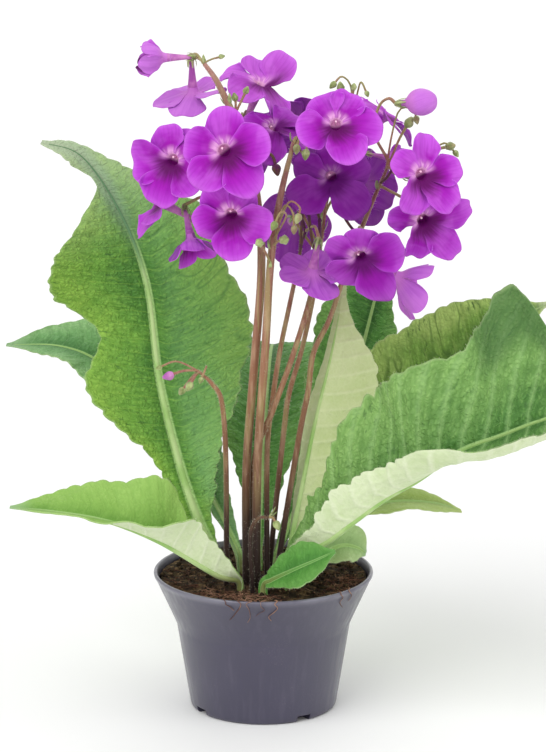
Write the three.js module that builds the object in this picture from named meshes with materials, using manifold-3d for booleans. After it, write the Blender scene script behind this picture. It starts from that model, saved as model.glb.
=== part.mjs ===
// A cape primrose (Streptocarpus) growing in its 12 cm plastic pot.
// Units are millimetres, +Z is up and the origin is the middle of the pot's underside.
// Every leaf, flower stem and bloom is a body of its own, and they stand in plain holes in the compost.

import * as THREE from 'three';
import { mergeVertices } from 'three/addons/utils/BufferGeometryUtils.js';
import Module from 'manifold-3d';

const wasm = await Module();
wasm.setup();

// ---- Driving dimensions ------------------------------------------------------------------------

const RIM_RADIUS = 60;          // outside of the pot's rim
const POT_HEIGHT = 76;
const COLLAR_FOOT_RADIUS = 50.2;
const COLLAR_FOOT_HEIGHT = 53.5;
const BODY_TOP_RADIUS = 47.4;
const BODY_TOP_HEIGHT = 47;
const BASE_RADIUS = 40.3;
const WALL = 1.2;
const POT_SIDES = 30;
const NOTCH_WIDTH = 8;
const NOTCH_HEIGHT = 3.6;
const NOTCH_INNER_RADIUS = 33;
const NOTCH_TURNS = [-57, 33, 123, 213];   // degrees, 0 is +X

const FIT = 0.3;                // clearance between neighbouring bodies
const FLOOR_TOP = 2.6;          // inside of the pot's floor
const COMPOST_EDGE = 72.6;      // height of the compost at the wall
const COMPOST_CROWN = 75;       // and around the plant
const STEM_FOOT = 62;           // how deep the stems reach
const LEAF_HOLE_RADIUS = 4.6;
const HOLE_SIDES = 7;
const HOLE_FLAT = Math.cos(Math.PI / HOLE_SIDES);
const HOLE_FOOT = STEM_FOOT - 1;

const BLADE = 1.1;              // leaf thickness at the margin
const PETIOLE_THICKNESS = 4.2;
const PETAL = 0.9;              // petal thickness
const TUBE_LENGTH = 22;         // throat to the back of the corolla tube
const CALYX_LENGTH = 4.5;
const CALYX_RADIUS = 2.2;
const CALYX_FOOT_RADIUS = 1;
const PEDICEL_RADIUS = 0.9;

const POT_COLOUR = 0x585469;
const COMPOST_COLOUR = 0x2c1d18;
const LEAF_COLOUR = 0x6fa24c;
const STEM_COLOUR = 0x8f6a48;
const PETAL_COLOUR = 0xb034c8;

// ---- Materials ---------------------------------------------------------------------------------

function material(color, roughness) {
  return new THREE.MeshStandardMaterial({ color, roughness, metalness: 0 });
}

const potMaterial = material(POT_COLOUR, 0.45);
const compostMaterial = material(COMPOST_COLOUR, 1);
const leafMaterial = material(LEAF_COLOUR, 0.55);
const stemMaterial = material(STEM_COLOUR, 0.6);
const petalMaterial = material(PETAL_COLOUR, 0.6);

// ---- Solids and booleans -----------------------------------------------------------------------

function welded(geometry) {
  geometry.deleteAttribute('normal');
  geometry.deleteAttribute('uv');
  const merged = mergeVertices(geometry, 1e-4);
  const index = merged.index.array;
  const kept = [];
  for (let i = 0; i < index.length; i += 3) {
    const [a, b, c] = [index[i], index[i + 1], index[i + 2]];
    if (a !== b && b !== c && c !== a) kept.push(a, b, c);
  }
  merged.setIndex(kept);
  return merged;
}

function solid(geometry) {
  const mesh = welded(geometry);
  return new wasm.Manifold(new wasm.Mesh({
    numProp: 3,
    vertProperties: new Float32Array(mesh.attributes.position.array),
    triVerts: new Uint32Array(mesh.index.array),
  }));
}

function geometryOf(body) {
  const mesh = body.getMesh();
  const geometry = new THREE.BufferGeometry();
  geometry.setAttribute('position', new THREE.BufferAttribute(new Float32Array(mesh.vertProperties), 3));
  geometry.setIndex(Array.from(mesh.triVerts));
  return geometry;
}

function joined(bodies) {
  return bodies.reduce((whole, body) => whole.add(body));
}

const plant = new THREE.Group();

function addNode(name, geometry, look) {
  geometry.computeVertexNormals();
  const mesh = new THREE.Mesh(geometry, look);
  mesh.name = name;
  plant.add(mesh);
}

const vector = (list) => new THREE.Vector3(...list);

function smooth(values, t) {
  // Reads a short list of numbers as one smooth run, t from 0 to 1.
  const curve = new THREE.SplineCurve(values.map((value, i) => new THREE.Vector2(i, value)));
  return curve.getPoint(t).y;
}

// A closed thin body of two sheets. Both are PlaneGeometry nets split into triangles alike, the back one
// turned over, and a strip closes them along their free edge. front and back map (u, v) to a point.
function shell(across, frontRows, backRows, front, back, isRound) {
  const net = (rows, place, turned) => {
    const plane = new THREE.PlaneGeometry(1, 1, across, rows);
    const { position, uv } = plane.attributes;
    for (let i = 0; i < position.count; i++) {
      const point = place(uv.getX(i), uv.getY(i));
      position.setXYZ(i, point.x, point.y, point.z);
    }
    const index = Array.from(plane.index.array);
    return { points: Array.from(position.array), index: turned ? index.reverse() : index, rows };
  };
  const edge = ({ rows }) => {
    const at = (column, row) => row * (across + 1) + column;
    const loop = [];
    for (let column = 0; column <= across; column++) loop.push(at(column, 0));
    if (isRound) return loop;
    for (let row = 1; row <= rows; row++) loop.push(at(across, row));
    for (let column = across - 1; column >= 0; column--) loop.push(at(column, rows));
    for (let row = rows - 1; row >= 0; row--) loop.push(at(0, row));
    return loop;
  };
  const top = net(frontRows, front, false);
  const bottom = net(backRows, back, true);
  const shift = top.points.length / 3;
  const index = top.index.concat(bottom.index.map((i) => i + shift));
  const topEdge = edge(top);
  const bottomEdge = edge(bottom).map((i) => i + shift);
  for (let i = 0; i + 1 < topEdge.length; i++) {
    index.push(topEdge[i], topEdge[i + 1], bottomEdge[i + 1]);
    index.push(topEdge[i], bottomEdge[i + 1], bottomEdge[i]);
  }
  const geometry = new THREE.BufferGeometry();
  geometry.setAttribute('position', new THREE.BufferAttribute(
    new Float32Array(top.points.concat(bottom.points)), 3));
  geometry.setIndex(index);
  return welded(geometry);
}

function tube(points, radius, sides, steps) {
  const ring = new THREE.Shape();
  for (let i = 0; i < sides; i++) {
    const turn = (2 * Math.PI * i) / sides;
    const [x, y] = [radius * Math.cos(turn), radius * Math.sin(turn)];
    if (i === 0) ring.moveTo(x, y);
    else ring.lineTo(x, y);
  }
  ring.closePath();
  const extrudePath = new THREE.CatmullRomCurve3(points, false, 'catmullrom', 0.5);
  return new THREE.ExtrudeGeometry(ring, { extrudePath, steps });
}

// ---- Pot ---------------------------------------------------------------------------------------

function makePot() {
  const profile = [
    [0, 0], [18, 0], [19.5, 1.4], [28, 1.4], [29.5, 0],                     // ringed underside
    [BASE_RADIUS - 2.3, 0], [BASE_RADIUS - 0.7, 0.6], [BASE_RADIUS, 2.2],
    [BODY_TOP_RADIUS, BODY_TOP_HEIGHT],
    [COLLAR_FOOT_RADIUS, COLLAR_FOOT_HEIGHT],
    [RIM_RADIUS - 0.6, POT_HEIGHT - 2], [RIM_RADIUS, POT_HEIGHT - 0.8],
    [RIM_RADIUS - 0.6, POT_HEIGHT], [RIM_RADIUS - 1.8, POT_HEIGHT],
    [RIM_RADIUS - 0.6 - WALL - 0.6, POT_HEIGHT - 2],
    [COLLAR_FOOT_RADIUS - WALL, COLLAR_FOOT_HEIGHT + 0.6],
    [BODY_TOP_RADIUS - WALL, BODY_TOP_HEIGHT + 0.6],
    [BASE_RADIUS - WALL, FLOOR_TOP + 1], [BASE_RADIUS - WALL - 1, FLOOR_TOP], [0, FLOOR_TOP],
  ].map(([radius, height]) => new THREE.Vector2(radius, height));
  let pot = solid(new THREE.LatheGeometry(profile, POT_SIDES).rotateX(Math.PI / 2));
  const reach = BASE_RADIUS + 3 - NOTCH_INNER_RADIUS;
  for (const degrees of NOTCH_TURNS) {
    const notch = new THREE.BoxGeometry(reach, NOTCH_WIDTH, 2 * NOTCH_HEIGHT);
    notch.translate(NOTCH_INNER_RADIUS + reach / 2, 0, 0);
    notch.rotateZ(THREE.MathUtils.degToRad(degrees));
    pot = pot.subtract(solid(notch));
  }
  addNode('pot', geometryOf(pot), potMaterial);
}

// ---- Compost -----------------------------------------------------------------------------------

function lump(x, y) {
  // Rise and fall of the loose surface.
  return 0.7 * Math.sin(0.31 * x + 1.3 * Math.sin(0.17 * y)) + 0.6 * Math.sin(0.27 * y - 0.23 * x + 2);
}

function makeCompost(holes) {
  const inside = (radius) => radius - WALL - FIT;
  const profile = [
    [0, FLOOR_TOP + FIT], [inside(BASE_RADIUS) - 1.2, FLOOR_TOP + FIT],
    [inside(BASE_RADIUS), FLOOR_TOP + 1 + FIT],
    [inside(BODY_TOP_RADIUS), BODY_TOP_HEIGHT + 0.6],
    [inside(COLLAR_FOOT_RADIUS), COLLAR_FOOT_HEIGHT + 0.6],
    [inside(RIM_RADIUS) - 2.1, COMPOST_EDGE],
    [47, 73.8], [33, 74.6], [18, COMPOST_CROWN], [0, COMPOST_CROWN],
  ].map(([radius, height]) => new THREE.Vector2(radius, height));
  const heap = new THREE.LatheGeometry(profile, POT_SIDES).rotateX(Math.PI / 2);
  const { position } = heap.attributes;
  for (let i = 0; i < position.count; i++) {
    const [x, y, z] = [position.getX(i), position.getY(i), position.getZ(i)];
    if (z > COMPOST_EDGE + 0.5) position.setZ(i, z + lump(x, y));
  }
  let compost = solid(heap);
  const depth = COMPOST_CROWN + 4 - HOLE_FOOT;
  for (const { x, y, radius } of holes) {
    const hole = new THREE.CylinderGeometry(radius, radius, depth, HOLE_SIDES).rotateX(Math.PI / 2);
    hole.translate(x, y, HOLE_FOOT + depth / 2);
    compost = compost.subtract(solid(hole));
  }
  addNode('compost', geometryOf(compost), compostMaterial);
}

// ---- Leaves ------------------------------------------------------------------------------------

// rib: points of the midrib, from just above the compost to the tip. With the upper side in view and the
// tip ahead, left and right are the widths of the two halves, leftFold and rightFold how far each rises
// from the level (degrees) and leftCurl and rightCurl how much more it has turned by its margin. Each of
// these lists runs evenly from the foot in the compost to the tip. face is where the upper side looks, at
// the foot, midway and at the tip. cells is the net, across and along.
const LEAVES = [
  {
    name: 'leaf_tall_left', cells: [8, 18], teeth: 1.2, wave: 3, waves: 4.5,
    rib: [[-20, -14, 79], [-28, -13, 92], [-37, -4, 110], [-47, 10, 138], [-57, 28, 177], [-64, 46, 226],
      [-78, 62, 261], [-100, 76, 291], [-123, 84, 298]],
    left: [2.6, 2.6, 2.6, 3, 3.4, 5, 7, 10, 14, 30, 42, 31, 54, 52, 33, 4.5, 9, 6, 1.2],
    right: [2.6, 2.6, 2.6, 3, 3.4, 6, 10, 17, 25, 38, 48, 55, 45, 46, 32, 15, 6, 4, 1.2],
    leftFold: [30, 22, 12, 8, 10, 20], rightFold: [30, 24, 14, 8, 16, 20],
    leftCurl: [0, 0, 4, 18, 10], rightCurl: [0, 0, 6, 14, 10],
    face: [[0.2, -0.95, 0.2], [0.12, -0.88, 0.45], [-0.1, -0.7, 0.7]],
  },
  {
    name: 'leaf_low_left', cells: [6, 16], teeth: 1.2, wave: 1.6, waves: 5,
    rib: [[-12, -31, 79], [-24, -38, 85], [-44, -44, 99], [-57, -50, 108], [-73, -54, 116],
      [-90, -57, 122], [-112, -58, 126], [-134, -57, 128]],
    left: [2.6, 2.8, 10, 20, 22, 19, 16, 11, 1.2],
    right: [2.6, 2.8, 6, 15, 33, 28, 23, 15, 1.2],
    leftFold: [60, 75, 74, 60, 30, 16, 13, 12], rightFold: [60, 60, 60, 60, 60, 44, 30, 22],
    leftCurl: [0, 0, 0, 0, -4, -4], rightCurl: [0, 0, 6, 4, 0, 0],
    face: [[0.3, 0, 0.9], [0.1, 0, 1], [0, 0, 1]],
  },
  {
    name: 'leaf_broad_right', cells: [10, 18], teeth: 1.4, wave: 2.4, waves: 5,
    rib: [[11, -31, 79], [15, -30, 92], [33, -37, 103], [46, -44, 115], [64, -52, 131], [82, -60, 144],
      [103, -66, 161], [124, -72, 171], [144, -76, 180], [170, -81, 189], [194, -84, 192]],
    left: [2.6, 2.6, 3, 6.5, 14, 26, 30, 38, 48, 55, 60, 54, 49, 61, 69, 77, 27, 15, 1.2],
    right: [2.6, 2.8, 7, 13, 17, 20, 24, 30, 32, 30, 20, 1.2],
    leftFold: [60, 60, 58, 54, 48, 44, 42, 40], rightFold: [60, 75, 70, 62, 30, -30, -55, -50, -20],
    leftCurl: [0, 0, 6, 12, 14, 0], rightCurl: [0, 0, 0, 50, 110, 125, 110, 40],
    face: [[-0.4, -0.1, 0.9], [-0.2, -0.1, 1], [-0.1, -0.1, 1]],
  },
  {
    name: 'leaf_pale_right', cells: [6, 12], teeth: 1.2, wave: 1.6, waves: 4,
    rib: [[14, -19, 79], [15, -18, 96], [20, -15, 122], [28, -7, 161], [36, 2, 193], [41, 8, 217],
      [44, 14, 238]],
    left: [2.6, 2.6, 3.2, 14, 31, 26, 6.5, 1.2],
    right: [2.6, 2.6, 3, 9, 13, 6, 3, 1.2],
    leftFold: [40, 40, 30, 22, 14, 10], rightFold: [60, 70, 60, 50, 40, 30],
    leftCurl: [0, 0, 0, 0], rightCurl: [0, 0, 10, 10],
    face: [[0.2, 1, 0.1], [0.25, 1, -0.15], [0.2, 1, 0]],
  },
  {
    name: 'leaf_back_right', cells: [6, 12], teeth: 1.2, wave: 2, waves: 4,
    rib: [[7, -1, 79], [12, 6, 95], [34, 36, 134], [51, 66, 170], [61, 86, 201], [69, 104, 230]],
    left: [2.6, 2.6, 3.4, 15, 27, 26, 1.2],
    right: [2.6, 2.6, 3.4, 18, 27, 14, 1.2],
    leftFold: [30, 20, 12, 10], rightFold: [30, 20, 12, 10],
    leftCurl: [0, 0, 8, 0], rightCurl: [0, 0, 6, 0],
    face: [[-0.3, -0.7, 0.5], [-0.3, -0.8, 0.6], [-0.2, -0.7, 0.7]],
  },
  {
    name: 'leaf_far_right', cells: [6, 12], teeth: 1.2, wave: 2, waves: 4,
    rib: [[16, -7, 79], [23, -4, 96], [48, 6, 129], [81, 14, 162], [115, 22, 191], [140, 28, 210],
      [156, 32, 218]],
    left: [2.6, 2.6, 3.4, 24, 39, 35, 14, 1.4],
    right: [2.6, 2.6, 3.4, 14, 22, 22, 12, 1.4],
    leftFold: [40, 34, 26, 20, 24], rightFold: [30, 24, 16, 10, 20],
    leftCurl: [0, 0, 8, 0], rightCurl: [0, 0, -6, 0],
    face: [[-0.4, -0.5, 0.7], [-0.4, -0.6, 0.8], [-0.3, -0.5, 0.9]],
  },
  {
    name: 'leaf_back_left', cells: [6, 12], teeth: 1.2, wave: 2, waves: 4,
    rib: [[-12, -4, 79], [-17, 2, 93], [-38, 30, 126], [-63, 55, 155], [-91, 68, 176], [-114, 74, 184],
      [-144, 78, 184]],
    left: [2.6, 2.6, 3.4, 17, 25, 24, 21, 1.2],
    right: [2.6, 2.6, 3.4, 17, 25, 25, 21, 1.2],
    leftFold: [40, 30, 16, 10, 10], rightFold: [40, 30, 24, 20, 16],
    leftCurl: [0, 0, -6, 0], rightCurl: [0, 0, 6, 0],
    face: [[0.4, -0.4, 0.8], [0.2, -0.3, 1], [0, -0.2, 1]],
  },
  {
    name: 'leaf_back_centre', cells: [6, 12], teeth: 1.2, wave: 2.4, waves: 4,
    rib: [[-3, 0, 79], [-3, 6, 92], [-1, 32, 121], [1, 70, 146], [3, 108, 162], [5, 146, 167],
      [7, 172, 160]],
    left: [2.6, 2.6, 3.4, 15, 31, 35, 27, 1.2],
    right: [2.6, 2.6, 3.4, 15, 31, 35, 27, 1.2],
    leftFold: [40, 30, 18, 10, 4], rightFold: [40, 30, 18, 10, 4],
    leftCurl: [0, 0, 0, -8], rightCurl: [0, 0, 0, -8],
    face: [[0, -0.7, 0.6], [0, -0.5, 1], [0, 0, 1]],
  },
  {
    name: 'leaf_small_front', cells: [4, 8], teeth: 0.7, wave: 0.6, waves: 3,
    rib: [[0, -38, 78], [4, -40, 82], [12, -43, 87], [20, -47, 92], [29, -50, 97], [38, -52, 102]],
    left: [2.6, 2.8, 5, 10, 12.5, 10, 1.2],
    right: [2.6, 2.8, 5, 9.5, 12, 9, 1.2],
    leftFold: [25, 16, 10, 6], rightFold: [20, 12, 6, 4],
    leftCurl: [0, 8, 4], rightCurl: [0, 6, 0],
    face: [[-0.3, -0.7, 0.7], [-0.2, -0.75, 0.65], [-0.1, -0.7, 0.7]],
  },
  {
    name: 'leaf_small_right', cells: [6, 8], teeth: 0.7, wave: 0.6, waves: 3,
    rib: [[23, -18, 79], [27, -17, 84], [33, -13, 89], [43, -8, 92], [51, -5, 90], [56, -3, 86]],
    left: [2.6, 2.6, 5, 11, 14, 12, 1.4],
    right: [2.6, 2.6, 4, 9, 11, 9, 1.4],
    leftFold: [30, 16, 6], rightFold: [30, 16, 6],
    leftCurl: [0, 4, 0], rightCurl: [0, 4, 0],
    face: [[-0.4, -0.5, 0.8], [0, -0.85, 0.75], [0.1, -0.8, 0.8]],
  },
  {
    name: 'leaf_low_right', cells: [6, 10], teeth: 0.9, wave: 0.8, waves: 4,
    rib: [[24, -8, 79], [30, 0, 91], [46, 17, 102], [70, 26, 107], [94, 33, 104.5], [110, 38, 98.5]],
    left: [2.6, 2.6, 3.4, 7, 9, 11, 9, 1.4],
    right: [2.6, 2.6, 3.4, 10, 14, 15, 10, 1.4],
    leftFold: [40, 24, 12, 8], rightFold: [40, 20, 10, 6],
    leftCurl: [0, 0, 0], rightCurl: [0, 0, -6],
    face: [[-0.5, -0.3, 0.8], [-0.1, -0.2, 1], [0.2, -0.2, 1]],
  },
];

const RIB_COLUMNS = 0.14;       // the first column beside the rib, as a share of the half width
const PETIOLE_PART = 0.25;      // share of the leaf's length over which the petiole flattens out
const FULL_WAVE_WIDTH = 16;     // a half this wide waves and bears teeth in full, a narrower one less

// The stalk is level across where it stands in the compost and takes the leaf's fold as it flattens.
const folded = (t) => THREE.MathUtils.smoothstep(t, 0.09, 0.27);

function leafSurface(leaf) {
  const foot = leaf.rib[0];
  const points = [[foot[0], foot[1], STEM_FOOT], ...leaf.rib].map(vector);
  const rib = new THREE.CatmullRomCurve3(points, false, 'catmullrom', 0.5);
  const last = leaf.face.length - 1;
  const facing = (t) => {
    const part = Math.min(Math.floor(t * last), last - 1);
    return vector(leaf.face[part]).lerp(vector(leaf.face[part + 1]), t * last - part);
  };
  return (across, t) => {
    // across runs from -1 at the left margin to 1 at the right one.
    const ahead = rib.getTangent(t);
    const up = facing(t).addScaledVector(ahead, -facing(t).dot(ahead)).normalize();
    const rightward = new THREE.Vector3().crossVectors(ahead, up).normalize();
    const side = across < 0 ? 'left' : 'right';
    const share = Math.abs(across);
    const row = t * leaf.cells[1];
    const half = Math.max(1.2, smooth(leaf[side], t));
    const envelope = Math.sin(Math.PI * Math.max(0, (t - 0.12) / 0.88)) * Math.min(1, half / FULL_WAVE_WIDTH);
    const tooth = leaf.teeth * (Math.round(row) % 2 ? 1 : -1) * envelope * share ** 6;
    const width = half * share + tooth;
    const fold = THREE.MathUtils.degToRad(smooth(leaf[side + 'Fold'], t)) * folded(t);
    const curl = THREE.MathUtils.degToRad(smooth(leaf[side + 'Curl'], t));
    const steps = 12;
    let [out, rise] = [0, 0];
    for (let i = 0; i < steps; i++) {
      const turn = fold + curl * share * ((i + 0.5) / steps);
      out += (Math.cos(turn) * width) / steps;
      rise += (Math.sin(turn) * width) / steps;
    }
    const phase = across < 0 ? 0 : 1.9;
    rise += leaf.wave * Math.sin(2 * Math.PI * leaf.waves * t + phase) * share ** 2 * envelope;
    return rib.getPoint(t).addScaledVector(rightward, Math.sign(across) * out).addScaledVector(up, rise);
  };
}

function makeLeaf(leaf) {
  const [columns, rows] = leaf.cells;
  const surface = leafSurface(leaf);
  const acrossAt = (u) => {
    // Even columns, but for the two narrow ones that carry the rib.
    const column = Math.round(u * columns) - columns / 2;
    if (column === 0) return 0;
    const step = (1 - RIB_COLUMNS) / (columns / 2 - 1);
    return Math.sign(column) * (RIB_COLUMNS + step * (Math.abs(column) - 1));
  };
  const petiole = (t) => (PETIOLE_THICKNESS - BLADE) * Math.max(0, 1 - t / PETIOLE_PART) ** 0.8;
  const centred = (t) => (petiole(t) / 2) * (1 - folded(t));
  const thickness = (across, t) => {
    const rib = Math.max(0, 1 - Math.abs(across) / 0.2) * 1.6 * Math.min(1, t / 0.2) * (1 - t);
    return BLADE + petiole(t) + rib;
  };
  const normal = (across, t) => {
    const reach = 0.02;
    const side = surface(Math.min(1, across + reach), t).sub(surface(Math.max(-1, across - reach), t));
    const along = surface(across, Math.min(1, t + reach)).sub(surface(across, Math.max(0, t - reach)));
    return side.cross(along).normalize();
  };
  const front = (u, v) => {
    const across = acrossAt(u);
    return surface(across, v).addScaledVector(normal(across, v), centred(v));
  };
  const back = (u, v) => {
    const across = acrossAt(u);
    return surface(across, v).addScaledVector(normal(across, v), centred(v) - thickness(across, v));
  };
  addNode(leaf.name, shell(columns, rows, rows, front, back, false), leafMaterial);
}

// ---- Flower stems and blooms -------------------------------------------------------------------

// path: the stem from just above the compost to its last fork.
// buds: closed buds and spent calyces, each at a place, with its radius and where its stalk leaves.
const STEMS = [
  {
    radius: 2.3,
    path: [[-9, -21, 78], [-9, -25, 140], [-5, -29, 196], [-1, -31, 250], [-3, -22, 286], [-10, -9, 318],
      [-18, -7, 334], [-25, -7, 348], [-31, -5, 356]],
    buds: [{ at: [-15, -5, 338], radius: 1.7, from: 0.72 }, { at: [-9, -4, 341.5], radius: 1.6, from: 0.72 }],
  },
  {
    radius: 2.4,
    path: [[-4, -27, 78], [-3, -32, 147], [1, -36, 208], [4, -38, 257], [9, -34, 290], [16, -27, 318]],
    buds: [{ at: [11, -47, 270], radius: 2.4, from: 0.69 }, { at: [-2, -54, 270], radius: 2.2, from: 0.65 }],
  },
  {
    radius: 1.7,
    path: [[-5, -15, 78], [-5, -23, 142], [5, -28, 173], [15, -24, 200], [24, -12, 227], [29, 0, 246],
      [32, 6, 264]],
    buds: [{ at: [20, 2, 276], radius: 2, from: 0.9 }],
  },
  {
    radius: 1.5,
    path: [[2, -22, 78], [2, -19, 147], [5, -15, 176], [9, -11, 202], [14, -5, 225], [18, 2, 243],
      [21, 5, 260]],
    buds: [],
  },
  {
    radius: 1.5,
    path: [[3, -12, 78], [11, -9, 156], [14, -5, 177], [21, 3, 200], [28, 12, 232], [34, 18, 277],
      [46, 12, 316]],
    buds: [{ at: [41, 0, 343], radius: 2, from: 0.98 }, { at: [48, 1, 342.5], radius: 1.6, from: 0.98 }],
  },
  {
    radius: 1.6,
    path: [[7, -20, 78], [19, -16, 154], [24, -12, 179], [27, -8, 200], [36, -2, 218], [46, 2, 248],
      [58, 0, 280], [66, -4, 300]],
    buds: [{ at: [98, -28, 316], radius: 2.2, from: 1 }, { at: [77, -8, 325], radius: 2.4, from: 1 }],
  },
  {
    radius: 1.5,
    path: [[-20, -23, 78], [-20, -29, 144], [-22, -35, 179], [-27, -38, 190], [-33, -38, 196]],
    buds: [
      { at: [-50, -39, 195], radius: 2.3, from: 1 }, { at: [-39, -42, 190], radius: 2, from: 1 },
      { at: [-43, -36, 186], radius: 1.8, from: 1 },
    ],
  },
  {
    radius: 1.3,
    path: [[-6, -34, 78], [-7, -37, 106], [-3, -39, 116], [3, -39, 117]],
    buds: [{ at: [7, -40, 113], radius: 2, from: 1 }],
  },
];

// at: the throat. facing: where the bloom looks. roll: degrees it is turned about that, anticlockwise as
// seen from the front. open: 1 spread wide, 0 shut. stem and from: the stem it hangs on and how far up.
const BLOOMS = [
  { at: [-20, -58, 319], facing: [0, -1, 0.12], roll: 38, size: 1.04, stem: 1, from: 0.7 },
  { at: [-48, -30, 309], facing: [-0.45, -0.88, 0.1], roll: -15, size: 0.98, stem: 1, from: 0.68 },
  { at: [-17, -46, 283], facing: [-0.25, -0.93, -0.2], roll: 8, size: 0.96, stem: 1, from: 0.58 },
  { at: [-38, -20, 264], facing: [0.2, -0.35, -0.9], roll: 0, size: 0.76, open: 0.5, stem: 1, from: 0.53 },
  { at: [-54, -4, 281.5], facing: [-0.85, -0.1, 0.5], roll: 0, size: 0.85, stem: 1, from: 0.66 },
  { at: [-54, 0, 358.5], facing: [-1, -0.1, 0], roll: 0, size: 0.74, open: 0.35, stem: 1, from: 1 },
  { at: [-37.5, 12.5, 337.5], facing: [0.03, 0.12, -0.98], roll: 0, size: 0.82, stem: 1, from: 1 },
  { at: [-1, 20, 342], facing: [0.35, -0.2, 0.92], roll: -18, size: 1, stem: 1, from: 0.78 },
  { at: [38, -46, 331], facing: [0.1, -0.88, 0.42], roll: 2, size: 0.93, stem: 2, from: 1 },
  { at: [65, 11, 325.5], facing: [0.72, 0.05, 0.69], roll: 0, size: 0.8, stem: 5, from: 1 },
  { at: [91, -20, 338.6], facing: [1, -0.2, 0.1], roll: 0, size: 0.85, open: 0, stem: 6, from: 1 },
  { at: [83, -44, 304], facing: [0.35, -0.9, 0.2], roll: 20, size: 0.98, stem: 6, from: 1 },
  { at: [84.5, -30, 276.5], facing: [0.3, -0.9, -0.25], roll: 40, size: 1, stem: 6, from: 0.92 },
  { at: [50.5, -52, 261.5], facing: [-0.05, -0.93, -0.4], roll: 34, size: 0.98, stem: 6, from: 0.78 },
  { at: [73, -19, 243], facing: [0.85, 0.1, -0.5], roll: 0, size: 0.95, open: 0.5, stem: 6, from: 0.72 },
  { at: [26, -24, 247.5], facing: [-0.15, 0.35, -0.92], roll: 0, size: 0.85, stem: 4, from: 1 },
  { at: [36, -16, 297], facing: [0, -0.95, -0.1], roll: 36, size: 0.92, stem: 3, from: 1 },
  { at: [6, -8, 323], facing: [0.35, -0.45, 0.82], roll: 40, size: 0.84, stem: 1, from: 0.7 },
  { at: [67, 4, 304], facing: [0.9, 0.1, -0.2], roll: 0, size: 0.5, open: 0.45, stem: 5, from: 0.92 },
  { at: [-14, 30, 303], facing: [-0.4, 0.9, 0.1], roll: 10, size: 0.95, stem: 1, from: 0.66 },
  { at: [22, 48, 312], facing: [0.1, 1, 0.25], roll: -10, size: 1, stem: 5, from: 0.9 },
  { at: [54, 40, 284], facing: [0.5, 0.85, 0], roll: 0, size: 0.95, stem: 5, from: 0.82 },
  { at: [16, 40, 262], facing: [0, 0.95, -0.3], roll: 0, size: 0.9, stem: 5, from: 0.76 },
];

const LOBES = [                  // direction in degrees (90 is up) and reach of each lobe, in mm
  { turn: 126, reach: 22 }, { turn: 54, reach: 22 },
  { turn: -18, reach: 25 }, { turn: 270, reach: 27 }, { turn: 198, reach: 25 },
];
// Columns of the net as a share of each lobe's fifth of the ring, and how far the margin reaches there.
const SPREAD_LOBE = { columns: [0, 0.13, 0.5, 0.87], outline: [0.56, 0.91, 1, 0.91] };
const SHUT_LOBE = { columns: [0, 0.5], outline: [0.6, 1] };
const THROAT_RADIUS = 5;
const THROAT_DEPTH = 12;
const TUBE_END_RADIUS = 1.7;

function bloomPlace(bloom) {
  const ahead = vector(bloom.facing).normalize();
  const sideways = new THREE.Vector3(-ahead.y, ahead.x, 0).normalize();
  const up = new THREE.Vector3().crossVectors(ahead, sideways);
  const place = new THREE.Matrix4().makeBasis(sideways, up, ahead);
  place.multiply(new THREE.Matrix4().makeRotationZ(THREE.MathUtils.degToRad(bloom.roll)));
  place.multiply(new THREE.Matrix4().makeScale(bloom.size, bloom.size, bloom.size));
  return place.setPosition(...bloom.at);
}

// A shut bloom: the slender tube and the ball of folded lobes at its end.
function budGeometry() {
  const profile = [
    [0, -TUBE_LENGTH], [TUBE_END_RADIUS, -TUBE_LENGTH],
    [2.4, -19.5], [5.4, -17], [8.2, -12.5], [8.2, -8], [4.4, -0.8], [0, 0.4],
  ].map(([radius, height]) => new THREE.Vector2(radius, height));
  return welded(new THREE.LatheGeometry(profile, 10).rotateX(Math.PI / 2));
}

function bloomGeometry(open) {
  const closing = 1 - open;
  const lobe = closing > 0 ? SHUT_LOBE : SPREAD_LOBE;
  const limbRows = [0, 0.5, 1];
  const steps = lobe.columns.length;
  const columns = LOBES.length * steps;
  const column = (u) => {
    const whole = Math.round(u * columns) % columns;
    return { fifth: Math.floor(whole / steps), step: whole % steps };
  };
  const direction = ({ fifth, step }) => THREE.MathUtils.degToRad(90 - 72 * (fifth + lobe.columns[step]));
  const reachAt = ({ fifth, step }) => LOBES[(fifth + 1) % LOBES.length].reach * lobe.outline[step];
  const limb = (u, share, depth) => {
    // A point of the spread limb: share 0 at the throat, 1 at the margin. Shut lobes fold forward and in.
    const at = column(u);
    const turn = direction(at);
    const length = (reachAt(at) - THROAT_RADIUS) * share;
    const lift = THREE.MathUtils.degToRad((82 + 20 * share) * closing - 6);
    const bulge = Math.sin(Math.PI * share) * (2 + 3 * closing);
    const radius = THROAT_RADIUS + length * Math.cos(lift) + closing * (bulge - 2.4 * share);
    const height = length * Math.sin(lift) + (closing > 0 ? 0 : 0.5 * bulge);
    return new THREE.Vector3(radius * Math.cos(turn), radius * Math.sin(turn), height - depth);
  };
  const ring = (u, radius, height) => {
    const turn = direction(column(u));
    return new THREE.Vector3(radius * Math.cos(turn), radius * Math.sin(turn), height);
  };
  const front = (u, v) => {
    const row = Math.round(v * 3);
    if (row === 0) return new THREE.Vector3(0, 0, -THROAT_DEPTH);
    return limb(u, limbRows[row - 1], 0);
  };
  const back = (u, v) => {
    const row = Math.round(v * 4);
    if (row === 0) return new THREE.Vector3(0, 0, -TUBE_LENGTH);
    if (row === 1) return ring(u, TUBE_END_RADIUS, -TUBE_LENGTH);
    const share = limbRows[row - 2];
    const point = limb(u, share, closing > 0 ? 0.4 * PETAL : PETAL);
    const turn = direction(column(u));
    const outward = share === 0 ? PETAL : PETAL * closing;
    return point.add(new THREE.Vector3(Math.cos(turn), Math.sin(turn), 0).multiplyScalar(outward));
  };
  return shell(columns, 3, 4, front, back, true);
}

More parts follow.
